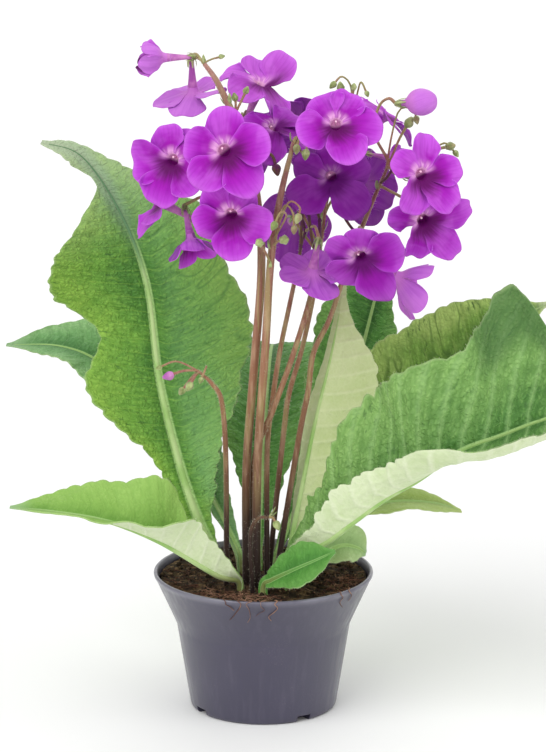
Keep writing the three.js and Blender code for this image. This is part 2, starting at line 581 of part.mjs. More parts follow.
function makeBloom(bloom, number) {
  const geometry = bloom.open === 0 ? budGeometry() : bloomGeometry(bloom.open ?? 1);
  const name = `bloom_${String(number).padStart(2, '0')}`;
  addNode(name, geometry.applyMatrix4(bloomPlace(bloom)), petalMaterial);
}

function stemCurve(stem) {
  const foot = stem.path[0];
  const points = [[foot[0], foot[1], STEM_FOOT], ...stem.path].map(vector);
  return new THREE.CatmullRomCurve3(points, false, 'catmullrom', 0.5);
}

function makeStem(stem, number) {
  const curve = stemCurve(stem);
  const bodies = [solid(tube(curve.points, stem.radius, 5, 2 * curve.points.length))];
  for (const bud of stem.buds) {
    const start = curve.getPoint(bud.from);
    const end = vector(bud.at);
    const middle = start.clone().lerp(end, 0.55).add(new THREE.Vector3(0, 0, 2));
    bodies.push(solid(tube([start, middle, end], PEDICEL_RADIUS, 4, 3)));
    const ball = new THREE.SphereGeometry(bud.radius, 5, 4).scale(1, 1, 1.5).translate(end.x, end.y, end.z);
    bodies.push(solid(ball));
  }
  for (const bloom of BLOOMS.filter((one) => one.stem === number)) {
    const place = bloomPlace(bloom);
    const behind = (distance) => new THREE.Vector3(0, 0, -TUBE_LENGTH - distance).applyMatrix4(place);
    const start = curve.getPoint(bloom.from);
    const reach = behind(0).distanceTo(start);
    const middle = start.clone().lerp(behind(0), 0.6).add(behind(0.3 * reach)).sub(behind(0));
    bodies.push(solid(tube([start, middle, behind(CALYX_LENGTH - 1)], PEDICEL_RADIUS, 4, 4)));
    const calyx = new THREE.CylinderGeometry(CALYX_RADIUS, CALYX_FOOT_RADIUS, CALYX_LENGTH, 5);
    calyx.rotateX(Math.PI / 2);
    calyx.translate(0, 0, -TUBE_LENGTH - FIT / bloom.size - CALYX_LENGTH / 2);
    bodies.push(solid(calyx.applyMatrix4(place)));
  }
  addNode(`flower_stem_${number}`, geometryOf(joined(bodies)), stemMaterial);
}

// ---- The whole plant ---------------------------------------------------------------------------

makePot();
makeCompost([
  ...LEAVES.map(({ rib: [[x, y]] }) => ({ x, y, radius: LEAF_HOLE_RADIUS })),
  ...STEMS.map(({ path: [[x, y]], radius }) => ({ x, y, radius: (radius + FIT) / HOLE_FLAT })),
]);
LEAVES.forEach(makeLeaf);
STEMS.forEach((stem, i) => makeStem(stem, i + 1));
BLOOMS.forEach((bloom, i) => makeBloom(bloom, i + 1));

export default plant;
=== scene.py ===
"""A cape primrose in its pot: long puckered leaves and slender stems of violet, five-lobed blooms.

Lengths are in millimetres, with +Z up and the origin in the middle of the pot's underside. finish_piece
turns a mesh into metres as it hands it over.
"""

import math
import random

import bmesh
import bpy
from mathutils import Matrix, Vector, noise


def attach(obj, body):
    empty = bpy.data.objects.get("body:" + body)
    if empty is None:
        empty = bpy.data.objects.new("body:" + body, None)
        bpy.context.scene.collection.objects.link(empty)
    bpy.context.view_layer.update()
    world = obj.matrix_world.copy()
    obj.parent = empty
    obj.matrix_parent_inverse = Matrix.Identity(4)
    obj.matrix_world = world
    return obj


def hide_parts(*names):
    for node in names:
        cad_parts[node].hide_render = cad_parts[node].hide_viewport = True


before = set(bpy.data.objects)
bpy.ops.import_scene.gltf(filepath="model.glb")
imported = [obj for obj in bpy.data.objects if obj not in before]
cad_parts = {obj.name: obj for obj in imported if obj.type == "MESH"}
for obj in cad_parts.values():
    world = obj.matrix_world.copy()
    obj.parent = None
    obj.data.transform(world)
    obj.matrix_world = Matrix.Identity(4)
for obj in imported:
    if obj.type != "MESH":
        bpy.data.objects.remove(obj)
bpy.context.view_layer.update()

MM = 0.001

# ---- Sizes and places ----------------------------------------------------------------------------

RIM_RADIUS = 60
POT_HEIGHT = 76
COLLAR_FOOT_RADIUS = 50.2
COLLAR_FOOT_HEIGHT = 53.5
BODY_TOP_RADIUS = 47.4
BODY_TOP_HEIGHT = 47
BASE_RADIUS = 40.3
WALL = 1.2
FLOOR_TOP = 2.6
BASE_RECESS = [(18, 0), (19.5, 1.4), (28, 1.4), (29.5, 0)]     # radius and height of the ring underneath
NOTCH_WIDTH = 8
NOTCH_HEIGHT = 3.6
NOTCH_TURNS = [-57, 33, 123, 213]                              # degrees, 0 is +X
COMPOST_EDGE = 72.6
COMPOST_CROWN = 75
CRUMBS = 520
FIBRES = 420
RIM_ROOT_TURNS = (-1.95, -1.8, -1.72, -1.6, -1.35, -0.8, -0.68)    # radians round the pot, 0 is +X
STEM_FOOT = 62                  # how deep the stems reach into the compost
TUBE_LENGTH = 22                # throat to the back of a bloom's tube
FLARE_RADIUS = 4.6              # where the throat has opened out into the lobes
CALYX_LENGTH = 4.5
THROAT_SHARE = 0.2              # how much of a lobe's length lies in the throat
TOOTH_PITCH = 7.5               # between the scallops of a leaf's margin
BLADE_THICKNESS = 0.8
BLADE_PITCH = (1.15, 1.25)      # between the corners of a leaf's net, across it and along it
LOBE_THICKNESS = 0.35
LOBE_NET = (24, 22)             # faces across and along a lobe
HAIR_RADIUS = 0.07
FRINGE_RADIUS = 0.06            # of the hairs on a leaf's margin

# rib: points of the midrib, from just above the compost to the tip. With the upper side in view and the
# tip ahead, left and right are the widths of the two halves, left_fold and right_fold how far each rises
# from the level (degrees) and left_curl and right_curl how much more it has turned by its margin. Each of
# these lists runs evenly from the foot in the compost to the tip. face is where the upper side looks, at
# the foot, midway and at the tip. veins is the distance between its side veins, slant how steeply they
# rise to the tip, puff how far it bulges between them, calm how much of that its right half has and hem how
# ragged its margin is.
LEAVES = [
    dict(
        name="leaf_tall_left", green="tall", wave=3, waves=4.5, veins=8, slant=0.12, puff=1.4, rib_radius=4.4,
        hem=1.4,
        rib=[(-20, -14, 79), (-28, -13, 92), (-37, -4, 110), (-47, 10, 138), (-57, 28, 177),
             (-64, 46, 226), (-78, 62, 261), (-100, 76, 291), (-123, 84, 298)],
        left=[2.6, 2.6, 2.6, 3, 3.4, 5, 7, 10, 14, 30, 42, 31, 54, 52, 33, 4.5, 9, 6, 1.2],
        right=[2.6, 2.6, 2.6, 3, 3.4, 6, 10, 17, 25, 38, 48, 55, 45, 46, 32, 15, 6, 4, 1.2],
        left_fold=[30, 22, 12, 8, 10, 20],
        right_fold=[30, 24, 14, 8, 16, 20],
        left_curl=[0, 0, 4, 18, 10],
        right_curl=[0, 0, 6, 14, 10],
        face=[(0.2, -0.95, 0.2), (0.12, -0.88, 0.45), (-0.1, -0.7, 0.7)],
    ),
    dict(
        name="leaf_low_left", green="lime", down="white", wave=1.6, waves=5, puff=0.5,
        rib=[(-12, -31, 79), (-24, -38, 85), (-44, -44, 99), (-57, -50, 108), (-73, -54, 116),
             (-90, -57, 122), (-112, -58, 126), (-134, -57, 128)],
        left=[2.6, 2.8, 10, 20, 22, 19, 16, 11, 1.2],
        right=[2.6, 2.8, 6, 15, 33, 28, 23, 15, 1.2],
        left_fold=[60, 75, 74, 60, 30, 16, 13, 12],
        right_fold=[60, 60, 60, 60, 60, 44, 30, 22],
        left_curl=[0, 0, 0, 0, -4, -4],
        right_curl=[0, 0, 6, 4, 0, 0],
        face=[(0.3, 0, 0.9), (0.1, 0, 1), (0, 0, 1)],
    ),
    dict(
        name="leaf_broad_right", green="fresh", down="white", wave=2.4, waves=5, veins=12.5, puff=1.7,
        hem=1.7, calm=0.45,
        rib=[(11, -31, 79), (15, -30, 92), (33, -37, 103), (46, -44, 115), (64, -52, 131),
             (82, -60, 144), (103, -66, 161), (124, -72, 171), (144, -76, 180), (170, -81, 189),
             (194, -84, 192)],
        left=[2.6, 2.6, 3, 6.5, 14, 26, 30, 38, 48, 55, 60, 54, 49, 61, 69, 77, 27, 15, 1.2],
        right=[2.6, 2.8, 7, 13, 17, 20, 24, 30, 32, 30, 20, 1.2],
        left_fold=[60, 60, 58, 54, 48, 44, 42, 40],
        right_fold=[60, 75, 70, 62, 30, -30, -55, -50, -20],
        left_curl=[0, 0, 6, 12, 14, 0],
        right_curl=[0, 0, 0, 50, 110, 125, 110, 40],
        face=[(-0.4, -0.1, 0.9), (-0.2, -0.1, 1), (-0.1, -0.1, 1)],
    ),
    dict(
        name="leaf_pale_right", green="lime", down="thin", wave=1.6, waves=4,
        rib=[(14, -19, 79), (15, -18, 96), (20, -15, 122), (28, -7, 161), (36, 2, 193), (41, 8, 217),
             (44, 14, 238)],
        left=[2.6, 2.6, 3.2, 14, 31, 26, 6.5, 1.2],
        right=[2.6, 2.6, 3, 9, 13, 6, 3, 1.2],
        left_fold=[40, 40, 30, 22, 14, 10],
        right_fold=[60, 70, 60, 50, 40, 30],
        left_curl=[0, 0, 0, 0],
        right_curl=[0, 0, 10, 10],
        face=[(0.2, 1, 0.1), (0.25, 1, -0.15), (0.2, 1, 0)],
    ),
    dict(
        name="leaf_back_right", wave=2, waves=4, slant=0.15, puff=1.3,
        rib=[(7, -1, 79), (12, 6, 95), (34, 36, 134), (51, 66, 170), (61, 86, 201), (69, 104, 230)],
        left=[2.6, 2.6, 3.4, 15, 27, 26, 1.2],
        right=[2.6, 2.6, 3.4, 18, 27, 14, 1.2],
        left_fold=[30, 20, 12, 10],
        right_fold=[30, 20, 12, 10],
        left_curl=[0, 0, 8, 0],
        right_curl=[0, 0, 6, 0],
        face=[(-0.3, -0.7, 0.5), (-0.3, -0.8, 0.6), (-0.2, -0.7, 0.7)],
    ),
    dict(
        name="leaf_far_right", green="mottled", wave=2, waves=4, puff=1.5,
        rib=[(16, -7, 79), (23, -4, 96), (48, 6, 129), (81, 14, 162), (115, 22, 191), (140, 28, 210),
             (156, 32, 218)],
        left=[2.6, 2.6, 3.4, 24, 39, 35, 14, 1.4],
        right=[2.6, 2.6, 3.4, 14, 22, 22, 12, 1.4],
        left_fold=[40, 34, 26, 20, 24],
        right_fold=[30, 24, 16, 10, 20],
        left_curl=[0, 0, 8, 0],
        right_curl=[0, 0, -6, 0],
        face=[(-0.4, -0.5, 0.7), (-0.4, -0.6, 0.8), (-0.3, -0.5, 0.9)],
    ),
    dict(
        name="leaf_back_left", green="cool", wave=2, waves=4,
        rib=[(-12, -4, 79), (-17, 2, 93), (-38, 30, 126), (-63, 55, 155), (-91, 68, 176),
             (-114, 74, 184), (-144, 78, 184)],
        left=[2.6, 2.6, 3.4, 17, 25, 24, 21, 1.2],
        right=[2.6, 2.6, 3.4, 17, 25, 25, 21, 1.2],
        left_fold=[40, 30, 16, 10, 10],
        right_fold=[40, 30, 24, 20, 16],
        left_curl=[0, 0, -6, 0],
        right_curl=[0, 0, 6, 0],
        face=[(0.4, -0.4, 0.8), (0.2, -0.3, 1), (0, -0.2, 1)],
    ),
    dict(
        name="leaf_back_centre", wave=2.4, waves=4,
        rib=[(-3, 0, 79), (-3, 6, 92), (-1, 32, 121), (1, 70, 146), (3, 108, 162), (5, 146, 167),
             (7, 172, 160)],
        left=[2.6, 2.6, 3.4, 15, 31, 35, 27, 1.2],
        right=[2.6, 2.6, 3.4, 15, 31, 35, 27, 1.2],
        left_fold=[40, 30, 18, 10, 4],
        right_fold=[40, 30, 18, 10, 4],
        left_curl=[0, 0, 0, -8],
        right_curl=[0, 0, 0, -8],
        face=[(0, -0.7, 0.6), (0, -0.5, 1), (0, 0, 1)],
    ),
    dict(
        name="leaf_small_front", green="bright", wave=0.6, waves=3, puff=0.6,
        rib=[(0, -38, 78), (4, -40, 82), (12, -43, 87), (20, -47, 92), (29, -50, 97), (38, -52, 102)],
        left=[2.6, 2.8, 5, 10, 12.5, 10, 1.2],
        right=[2.6, 2.8, 5, 9.5, 12, 9, 1.2],
        left_fold=[25, 16, 10, 6],
        right_fold=[20, 12, 6, 4],
        left_curl=[0, 8, 4],
        right_curl=[0, 6, 0],
        face=[(-0.3, -0.7, 0.7), (-0.2, -0.75, 0.65), (-0.1, -0.7, 0.7)],
    ),
    dict(
        name="leaf_small_right", green="grey", wave=0.6, waves=3, puff=0.5,
        rib=[(23, -18, 79), (27, -17, 84), (33, -13, 89), (43, -8, 92), (51, -5, 90), (56, -3, 86)],
        left=[2.6, 2.6, 5, 11, 14, 12, 1.4],
        right=[2.6, 2.6, 4, 9, 11, 9, 1.4],
        left_fold=[30, 16, 6],
        right_fold=[30, 16, 6],
        left_curl=[0, 4, 0],
        right_curl=[0, 4, 0],
        face=[(-0.4, -0.5, 0.8), (0, -0.85, 0.75), (0.1, -0.8, 0.8)],
    ),
    dict(
        name="leaf_low_right", green="olive", wave=0.8, waves=4, puff=0.5,
        rib=[(24, -8, 79), (30, 0, 91), (46, 17, 102), (70, 26, 107), (94, 33, 104.5), (110, 38, 98.5)],
        left=[2.6, 2.6, 3.4, 7, 9, 11, 9, 1.4],
        right=[2.6, 2.6, 3.4, 10, 14, 15, 10, 1.4],
        left_fold=[40, 24, 12, 8],
        right_fold=[40, 20, 10, 6],
        left_curl=[0, 0, 0],
        right_curl=[0, 0, -6],
        face=[(-0.5, -0.3, 0.8), (-0.1, -0.2, 1), (0.2, -0.2, 1)],
    ),
]

# path: the stem from just above the compost to its last fork. buds: closed buds and spent calyces.
# fork: how far up the stem a stalk leaves it, from 0 to 1.
STEMS = [
    dict(
        radius=2.3,
        path=[(-9, -21, 78), (-9, -25, 140), (-5, -29, 196), (-1, -31, 250), (-3, -22, 286),
              (-10, -9, 318), (-18, -7, 334), (-25, -7, 348), (-31, -5, 356)],
        buds=[dict(at=(-15, -5, 338), radius=1.7, fork=0.72),
              dict(at=(-9, -4, 341.5), radius=1.6, fork=0.72)],
    ),
    dict(
        radius=2.4,
        path=[(-4, -27, 78), (-3, -32, 147), (1, -36, 208), (4, -38, 257), (9, -34, 290),
              (16, -27, 318)],
        buds=[dict(at=(11, -47, 270), radius=2.4, fork=0.69),
              dict(at=(-2, -54, 270), radius=2.2, fork=0.65)],
    ),
    dict(
        radius=1.7,
        path=[(-5, -15, 78), (-5, -23, 142), (5, -28, 173), (15, -24, 200), (24, -12, 227),
              (29, 0, 246), (32, 6, 264)],
        buds=[dict(at=(20, 2, 276), radius=2, fork=0.9)],
    ),
    dict(
        radius=1.5,
        path=[(2, -22, 78), (2, -19, 147), (5, -15, 176), (9, -11, 202), (14, -5, 225), (18, 2, 243),
              (21, 5, 260)],
        buds=[],
    ),
    dict(
        radius=1.5,
        path=[(3, -12, 78), (11, -9, 156), (14, -5, 177), (21, 3, 200), (28, 12, 232), (34, 18, 277),
              (46, 12, 316)],
        buds=[dict(at=(41, 0, 343), radius=2, fork=0.98), dict(at=(48, 1, 342.5), radius=1.6, fork=0.98)],
    ),
    dict(
        radius=1.6,
        path=[(7, -20, 78), (19, -16, 154), (24, -12, 179), (27, -8, 200), (36, -2, 218), (46, 2, 248),
              (58, 0, 280), (66, -4, 300)],
        buds=[dict(at=(98, -28, 316), radius=2.2, fork=1), dict(at=(77, -8, 325), radius=2.4, fork=1)],
    ),
    dict(
        radius=1.5,
        path=[(-20, -23, 78), (-20, -29, 144), (-22, -35, 179), (-27, -38, 190), (-33, -38, 196)],
        buds=[dict(at=(-50, -39, 195), radius=2.3, fork=1, violet=True),
              dict(at=(-39, -42, 190), radius=2, fork=1),
              dict(at=(-43, -36, 186), radius=1.8, fork=1)],
    ),
    dict(
        radius=1.3,
        path=[(-6, -34, 78), (-7, -37, 106), (-3, -39, 116), (3, -39, 117)],
        buds=[dict(at=(7, -40, 113), radius=2, fork=1)],
    ),
]

# Smaller growth, per stem: young green buds that nod, and dark stalks whose bloom has dropped. Each has the
# place where it leaves the stem (fork, from 0 to 1), the points its stalk goes by and its size.
YOUNG_BUDS = {
    1: [dict(fork=0.99, by=[(-27, -2, 358), (-22, 0, 359)], radius=1.3)],
    2: [dict(fork=0.97, by=[(19, -29, 323), (17.7, -31, 315.2)], radius=1.9),
        dict(fork=0.97, by=[(23, -29, 322), (22.4, -31, 312.5)], radius=2.1),
        dict(fork=0.98, by=[(21, -28, 324), (25.5, -28, 317)], radius=1.6),
        dict(fork=0.7, by=[(13, -44, 289), (19, -46, 287), (18, -47, 281.5)], radius=2.0),
        dict(fork=0.71, by=[(11, -42, 287), (15.5, -46, 284), (16, -47, 275.5)], radius=1.7),
        dict(fork=0.7, by=[(12, -50, 283), (9, -59, 287), (5.5, -61, 280.5)], radius=1.9)],
    5: [dict(fork=0.98, by=[(47, 6, 340), (42, 2, 348), (37, 0, 344)], radius=1.7),
        dict(fork=0.98, by=[(50, 6, 338), (52, 2, 345), (55, 1, 339)], radius=1.3)],
    6: [dict(fork=0.97, by=[(68, -8, 318), (72, -9, 332), (79, -10, 332.5), (81, -10, 327)], radius=1.7),
        dict(fork=1, by=[(84, -14, 308), (95, -24, 317), (101, -27, 312)], radius=1.5)],
    7: [dict(fork=0.93, by=[(-30, -39, 200), (-33, -41, 193)], radius=1.3),
        dict(fork=0.99, by=[(-46, -40, 203), (-55, -41, 200)], radius=1.3)],
}
SPENT_STALKS = {
    1: [dict(fork=0.62, by=[(0, -20, 312), (5, -19, 309), (7, -19, 302)], radius=2.3)],
    3: [dict(fork=0.84, by=[(26, -10, 262), (24.3, -13, 276)], radius=0.9),
        dict(fork=0.88, by=[(30, -8, 262), (30, -11, 273)], radius=1.1),
        dict(fork=0.92, by=[(30, -3, 272), (26.4, -9, 284)], radius=1.0)],
    4: [dict(fork=0.9, by=[(20, -6, 262), (21, -14, 281)], radius=0.9),
        dict(fork=0.95, by=[(22, -2, 268), (14, -12, 290)], radius=1.0)],
    6: [dict(fork=0.8, by=[(47, -6, 268), (39, -9, 281)], radius=1.0),
        dict(fork=0.86, by=[(52, -6, 284), (46, -8, 296)], radius=1.0),
        dict(fork=0.93, by=[(66, -8, 296), (71, -10, 305)], radius=1.1)],
}

# at: the throat. facing: where the bloom looks. roll: degrees it is turned about that. open: 1 spread
# wide, 0 shut. stem and fork: the stem it hangs on and how far up. tone: how much shade is painted into its
# colour, for one in the shade of the others; below 0 on the backs of its lobes only. pale: how much light is
# painted on it, paler and pinker, for the blooms lit from above and those lit from behind. bends: lobes that
# lie otherwise than most. stalk: points its stalk goes by.
BLOOMS = [
    dict(at=(-20, -58, 319), facing=(0, -1, 0.12), roll=38, size=1.04, stem=1, fork=0.7),
    dict(at=(-48, -30, 309), facing=(-0.45, -0.88, 0.1), roll=-15, size=0.98, stem=1, fork=0.68),
    dict(at=(-17, -46, 283), facing=(-0.25, -0.93, -0.2), roll=8, size=0.96, stem=1, fork=0.58),
    dict(at=(-38, -20, 264), facing=(0.2, -0.35, -0.9), roll=0, size=0.76, open=0.5, painted_shade=-0.8, stem=1,
         fork=0.53, bends={0: dict(turn=-10, painted_shade=0, width=1.1)}),
    dict(at=(-54, -4, 281.5), facing=(-0.85, -0.1, 0.5), roll=0, size=0.85, painted_shade=0.1, stem=1, fork=0.66),
    dict(at=(-54, 0, 358.5), facing=(-1, -0.1, 0), roll=0, size=0.74, open=0.35, pale=0.65, stem=1, fork=1,
         bends={k: dict(rise=-10, end=46, reach=0.95) for k in range(5)}),
    dict(at=(-37.5, 12.5, 337.5), facing=(0.03, 0.12, -0.98), roll=0, size=0.82, pale=0.55, stem=1, fork=1,
         bends={0: dict(rise=-12, end=-14), 1: dict(rise=14, end=20), 2: dict(rise=10, end=26, reach=1.12),
                3: dict(rise=4, end=40), 4: dict(rise=-20, end=-12)}),
    dict(at=(-1, 20, 342), facing=(0.35, -0.2, 0.92), roll=-18, size=1, pale=0.4, stem=1, fork=0.78,
         bends={0: dict(rise=14, end=-40, reach=1.15, width=0.8), 1: dict(rise=16, end=42),
                2: dict(turn=30, rise=30, end=80, cup=1), 3: dict(rise=-38, end=-44, width=0.85, reach=1.06),
                4: dict(rise=-14, end=-24)}),
    dict(at=(38, -46, 331), facing=(0.1, -0.88, 0.42), roll=2, size=0.93, stem=2, fork=1,
         bends={0: dict(turn=-10, width=1.08, cup=1.5), 2: dict(reach=1.08), 3: dict(turn=16),
                4: dict(turn=-6)}),
    dict(at=(65, 11, 325.5), facing=(0.72, 0.05, 0.69), roll=0, size=0.8, stem=5, fork=1),
    dict(at=(91, -20, 338.6), facing=(1, -0.2, 0.1), roll=0, size=0.85, open=0, stem=6, fork=1,
         stalk=[(58.5, -8, 320), (61, -11, 334), (66, -14, 339)]),
    dict(at=(83, -44, 304), facing=(0.35, -0.9, 0.2), roll=20, size=0.98, stem=6, fork=1,
         bends={0: dict(width=0.72, reach=0.92), 1: dict(turn=6, width=0.66, reach=1.06),
                2: dict(turn=4, width=0.76), 3: dict(turn=20, width=0.76), 4: dict(turn=26, width=0.76)}),
    dict(at=(84.5, -30, 276.5), facing=(0.3, -0.9, -0.25), roll=40, size=1, stem=6, fork=0.92,
         bends={0: dict(turn=8, width=0.74), 1: dict(width=0.74), 2: dict(turn=-10, width=0.66, reach=1.18),
                3: dict(turn=4, width=0.68, reach=1.08), 4: dict(turn=22, width=0.66)}),
    dict(at=(50.5, -52, 261.5), facing=(-0.05, -0.93, -0.4), roll=34, size=0.98, painted_shade=0.35, stem=6, fork=0.78,
         bends={1: dict(reach=0.88), 3: dict(width=0.86, reach=1.14), 4: dict(width=0.92)}),
    dict(at=(73, -19, 243), facing=(0.85, 0.1, -0.5), roll=0, size=0.95, open=0.5, pale=0.45, stem=6,
         fork=0.72),
    dict(at=(26, -24, 247.5), facing=(-0.15, 0.35, -0.92), roll=0, size=0.85, pale=0.15, stem=4, fork=1),
    dict(at=(36, -16, 297), facing=(0, -0.95, -0.1), roll=36, size=0.92, painted_shade=0.75, stem=3, fork=1,
         bends={0: dict(reach=1.1), 4: dict(turn=-22, reach=1.15, width=1.1), 3: dict(turn=8, reach=1.1)}),
    dict(at=(6, -8, 323), facing=(0.35, -0.45, 0.82), roll=40, size=0.84, painted_shade=0.45, stem=1, fork=0.7,
         bends={4: dict(rise=-34, end=-50, reach=1.15), 3: dict(rise=-14, end=-30)}),
    dict(at=(67, 4, 304), facing=(0.9, 0.1, -0.2), roll=0, size=0.5, open=0.45, stem=5, fork=0.92),
    dict(at=(-14, 30, 303), facing=(-0.4, 0.9, 0.1), roll=10, size=0.95, painted_shade=-0.6, stem=1, fork=0.66),
    dict(at=(22, 48, 312), facing=(0.1, 1, 0.25), roll=-10, size=1, painted_shade=-0.7, stem=5, fork=0.9),
    dict(at=(54, 40, 284), facing=(0.5, 0.85, 0), roll=0, size=0.95, painted_shade=-0.8, stem=5, fork=0.82),
    dict(at=(16, 40, 262), facing=(0, 0.95, -0.3), roll=0, size=0.9, painted_shade=-0.7, stem=5, fork=0.76),
]

# direction in degrees (90 is up), reach from the middle and half width of each lobe, how steeply it leaves
# the throat and how steeply it ends (degrees forward), and how far it lies in front of the others
LOBES = [
    dict(turn=126, reach=22, half=11, rise=4, end=-22, layer=-0.5),
    dict(turn=54, reach=22, half=11, rise=4, end=-22, layer=0.1),
    dict(turn=-18, reach=25, half=11.6, rise=12, end=-14, layer=0.5),
    dict(turn=270, reach=27, half=12.4, rise=16, end=-8, layer=1.3),
    dict(turn=198, reach=25, half=11.6, rise=12, end=-14, layer=0.7),
]


# ---- Curves --------------------------------------------------------------------------------------

def smooth_run(values, t, held=True):
    """Reads evenly spaced numbers or points as one smooth run, t from 0 to 1."""
    last = len(values) - 1
    place = min(max(t, 0.0), 1.0) * last
    i = min(int(place), last - 1)
    part = place - i
    start, end = values[i], values[i + 1]
    before = values[i - 1] if i > 0 else (start if held else 2 * start - end)
    after = values[i + 2] if i + 2 <= last else (end if held else 2 * end - start)
    return 0.5 * (2 * start + (end - before) * part
                  + (2 * before - 5 * start + 4 * end - after) * part ** 2
                  + (3 * start - before - 3 * end + after) * part ** 3)


def ease(low, high, x):
    """0 below low, 1 above high and a soft step between."""
    part = min(max((x - low) / (high - low), 0.0), 1.0)
    return part * part * (3 - 2 * part)


# ---- Pieces --------------------------------------------------------------------------------------

def mesh_from(bm, name):
    """The mesh that bm has become. bm itself is given up."""
    mesh = bpy.data.meshes.new(name)
    bm.to_mesh(mesh)
    bm.free()
    return mesh


def placed(name, data):
    """A new object in the scene, with a mesh, a light or a camera for its data."""
    thing = bpy.data.objects.new(name, data)
    bpy.context.scene.collection.objects.link(thing)
    return thing


def finish_piece(name, bm, looks, nodes):
    """Hands over a mesh in millimetres as a piece that stands for the named CAD nodes."""
    bmesh.ops.scale(bm, vec=Vector((MM, MM, MM)), verts=bm.verts)
    for face in bm.faces:
        face.smooth = True
    mesh = mesh_from(bm, name)
    for look in looks:
        mesh.materials.append(look)
    piece = placed(name, mesh)
    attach(piece, "root")
    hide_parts(*nodes)
    return piece


def add_tubes(bm, runs, look=0, roundness=2):
    """Adds round tubes to bm. Each run is a list of (point, radius) in order."""
    curve = bpy.data.curves.new("tubes", "CURVE")
    curve.dimensions = "3D"
    curve.bevel_depth = 1
    curve.bevel_resolution = roundness
    curve.use_fill_caps = True
    for run in runs:
        spline = curve.splines.new("POLY")
        spline.points.add(len(run) - 1)
        for point, (place, radius) in zip(spline.points, run):
            point.co = (*place, 1)
            point.radius = radius
    holder = bpy.data.objects.new("tubes", curve)
    mesh = bpy.data.meshes.new_from_object(holder)
    first = len(bm.faces)
    bm.from_mesh(mesh)
    bm.faces.ensure_lookup_table()
    for face in bm.faces[first:]:
        face.material_index = look
    bpy.data.objects.remove(holder)
    bpy.data.curves.remove(curve)
    bpy.data.meshes.remove(mesh)


def add_sheet(bm, columns, rows, place):
    """Adds a net of faces to bm. place turns (u, v), both -1 to 1, into a point. Returns its corners."""
    made = bmesh.ops.create_grid(bm, x_segments=columns, y_segments=rows, size=1)["verts"]
    for corner in made:
        corner.co = place(corner, corner.co.x, corner.co.y)
    return made


def thicken(piece, thickness):
    """Gives a sheet its thickness, on its under side, which takes the sheet's second look."""
    solid = piece.modifiers.new("thickness", "SOLIDIFY")
    solid.thickness = thickness * MM
    solid.offset = -1
    solid.material_offset = 1


# ---- Materials -----------------------------------------------------------------------------------

def colour(red, green, blue):
    """A colour from its screen values, 0 to 255."""
    linear = [c / 255 / 12.92 if c <= 10 else ((c / 255 + 0.055) / 1.055) ** 2.4 for c in (red, green, blue)]
    return (*linear, 1)


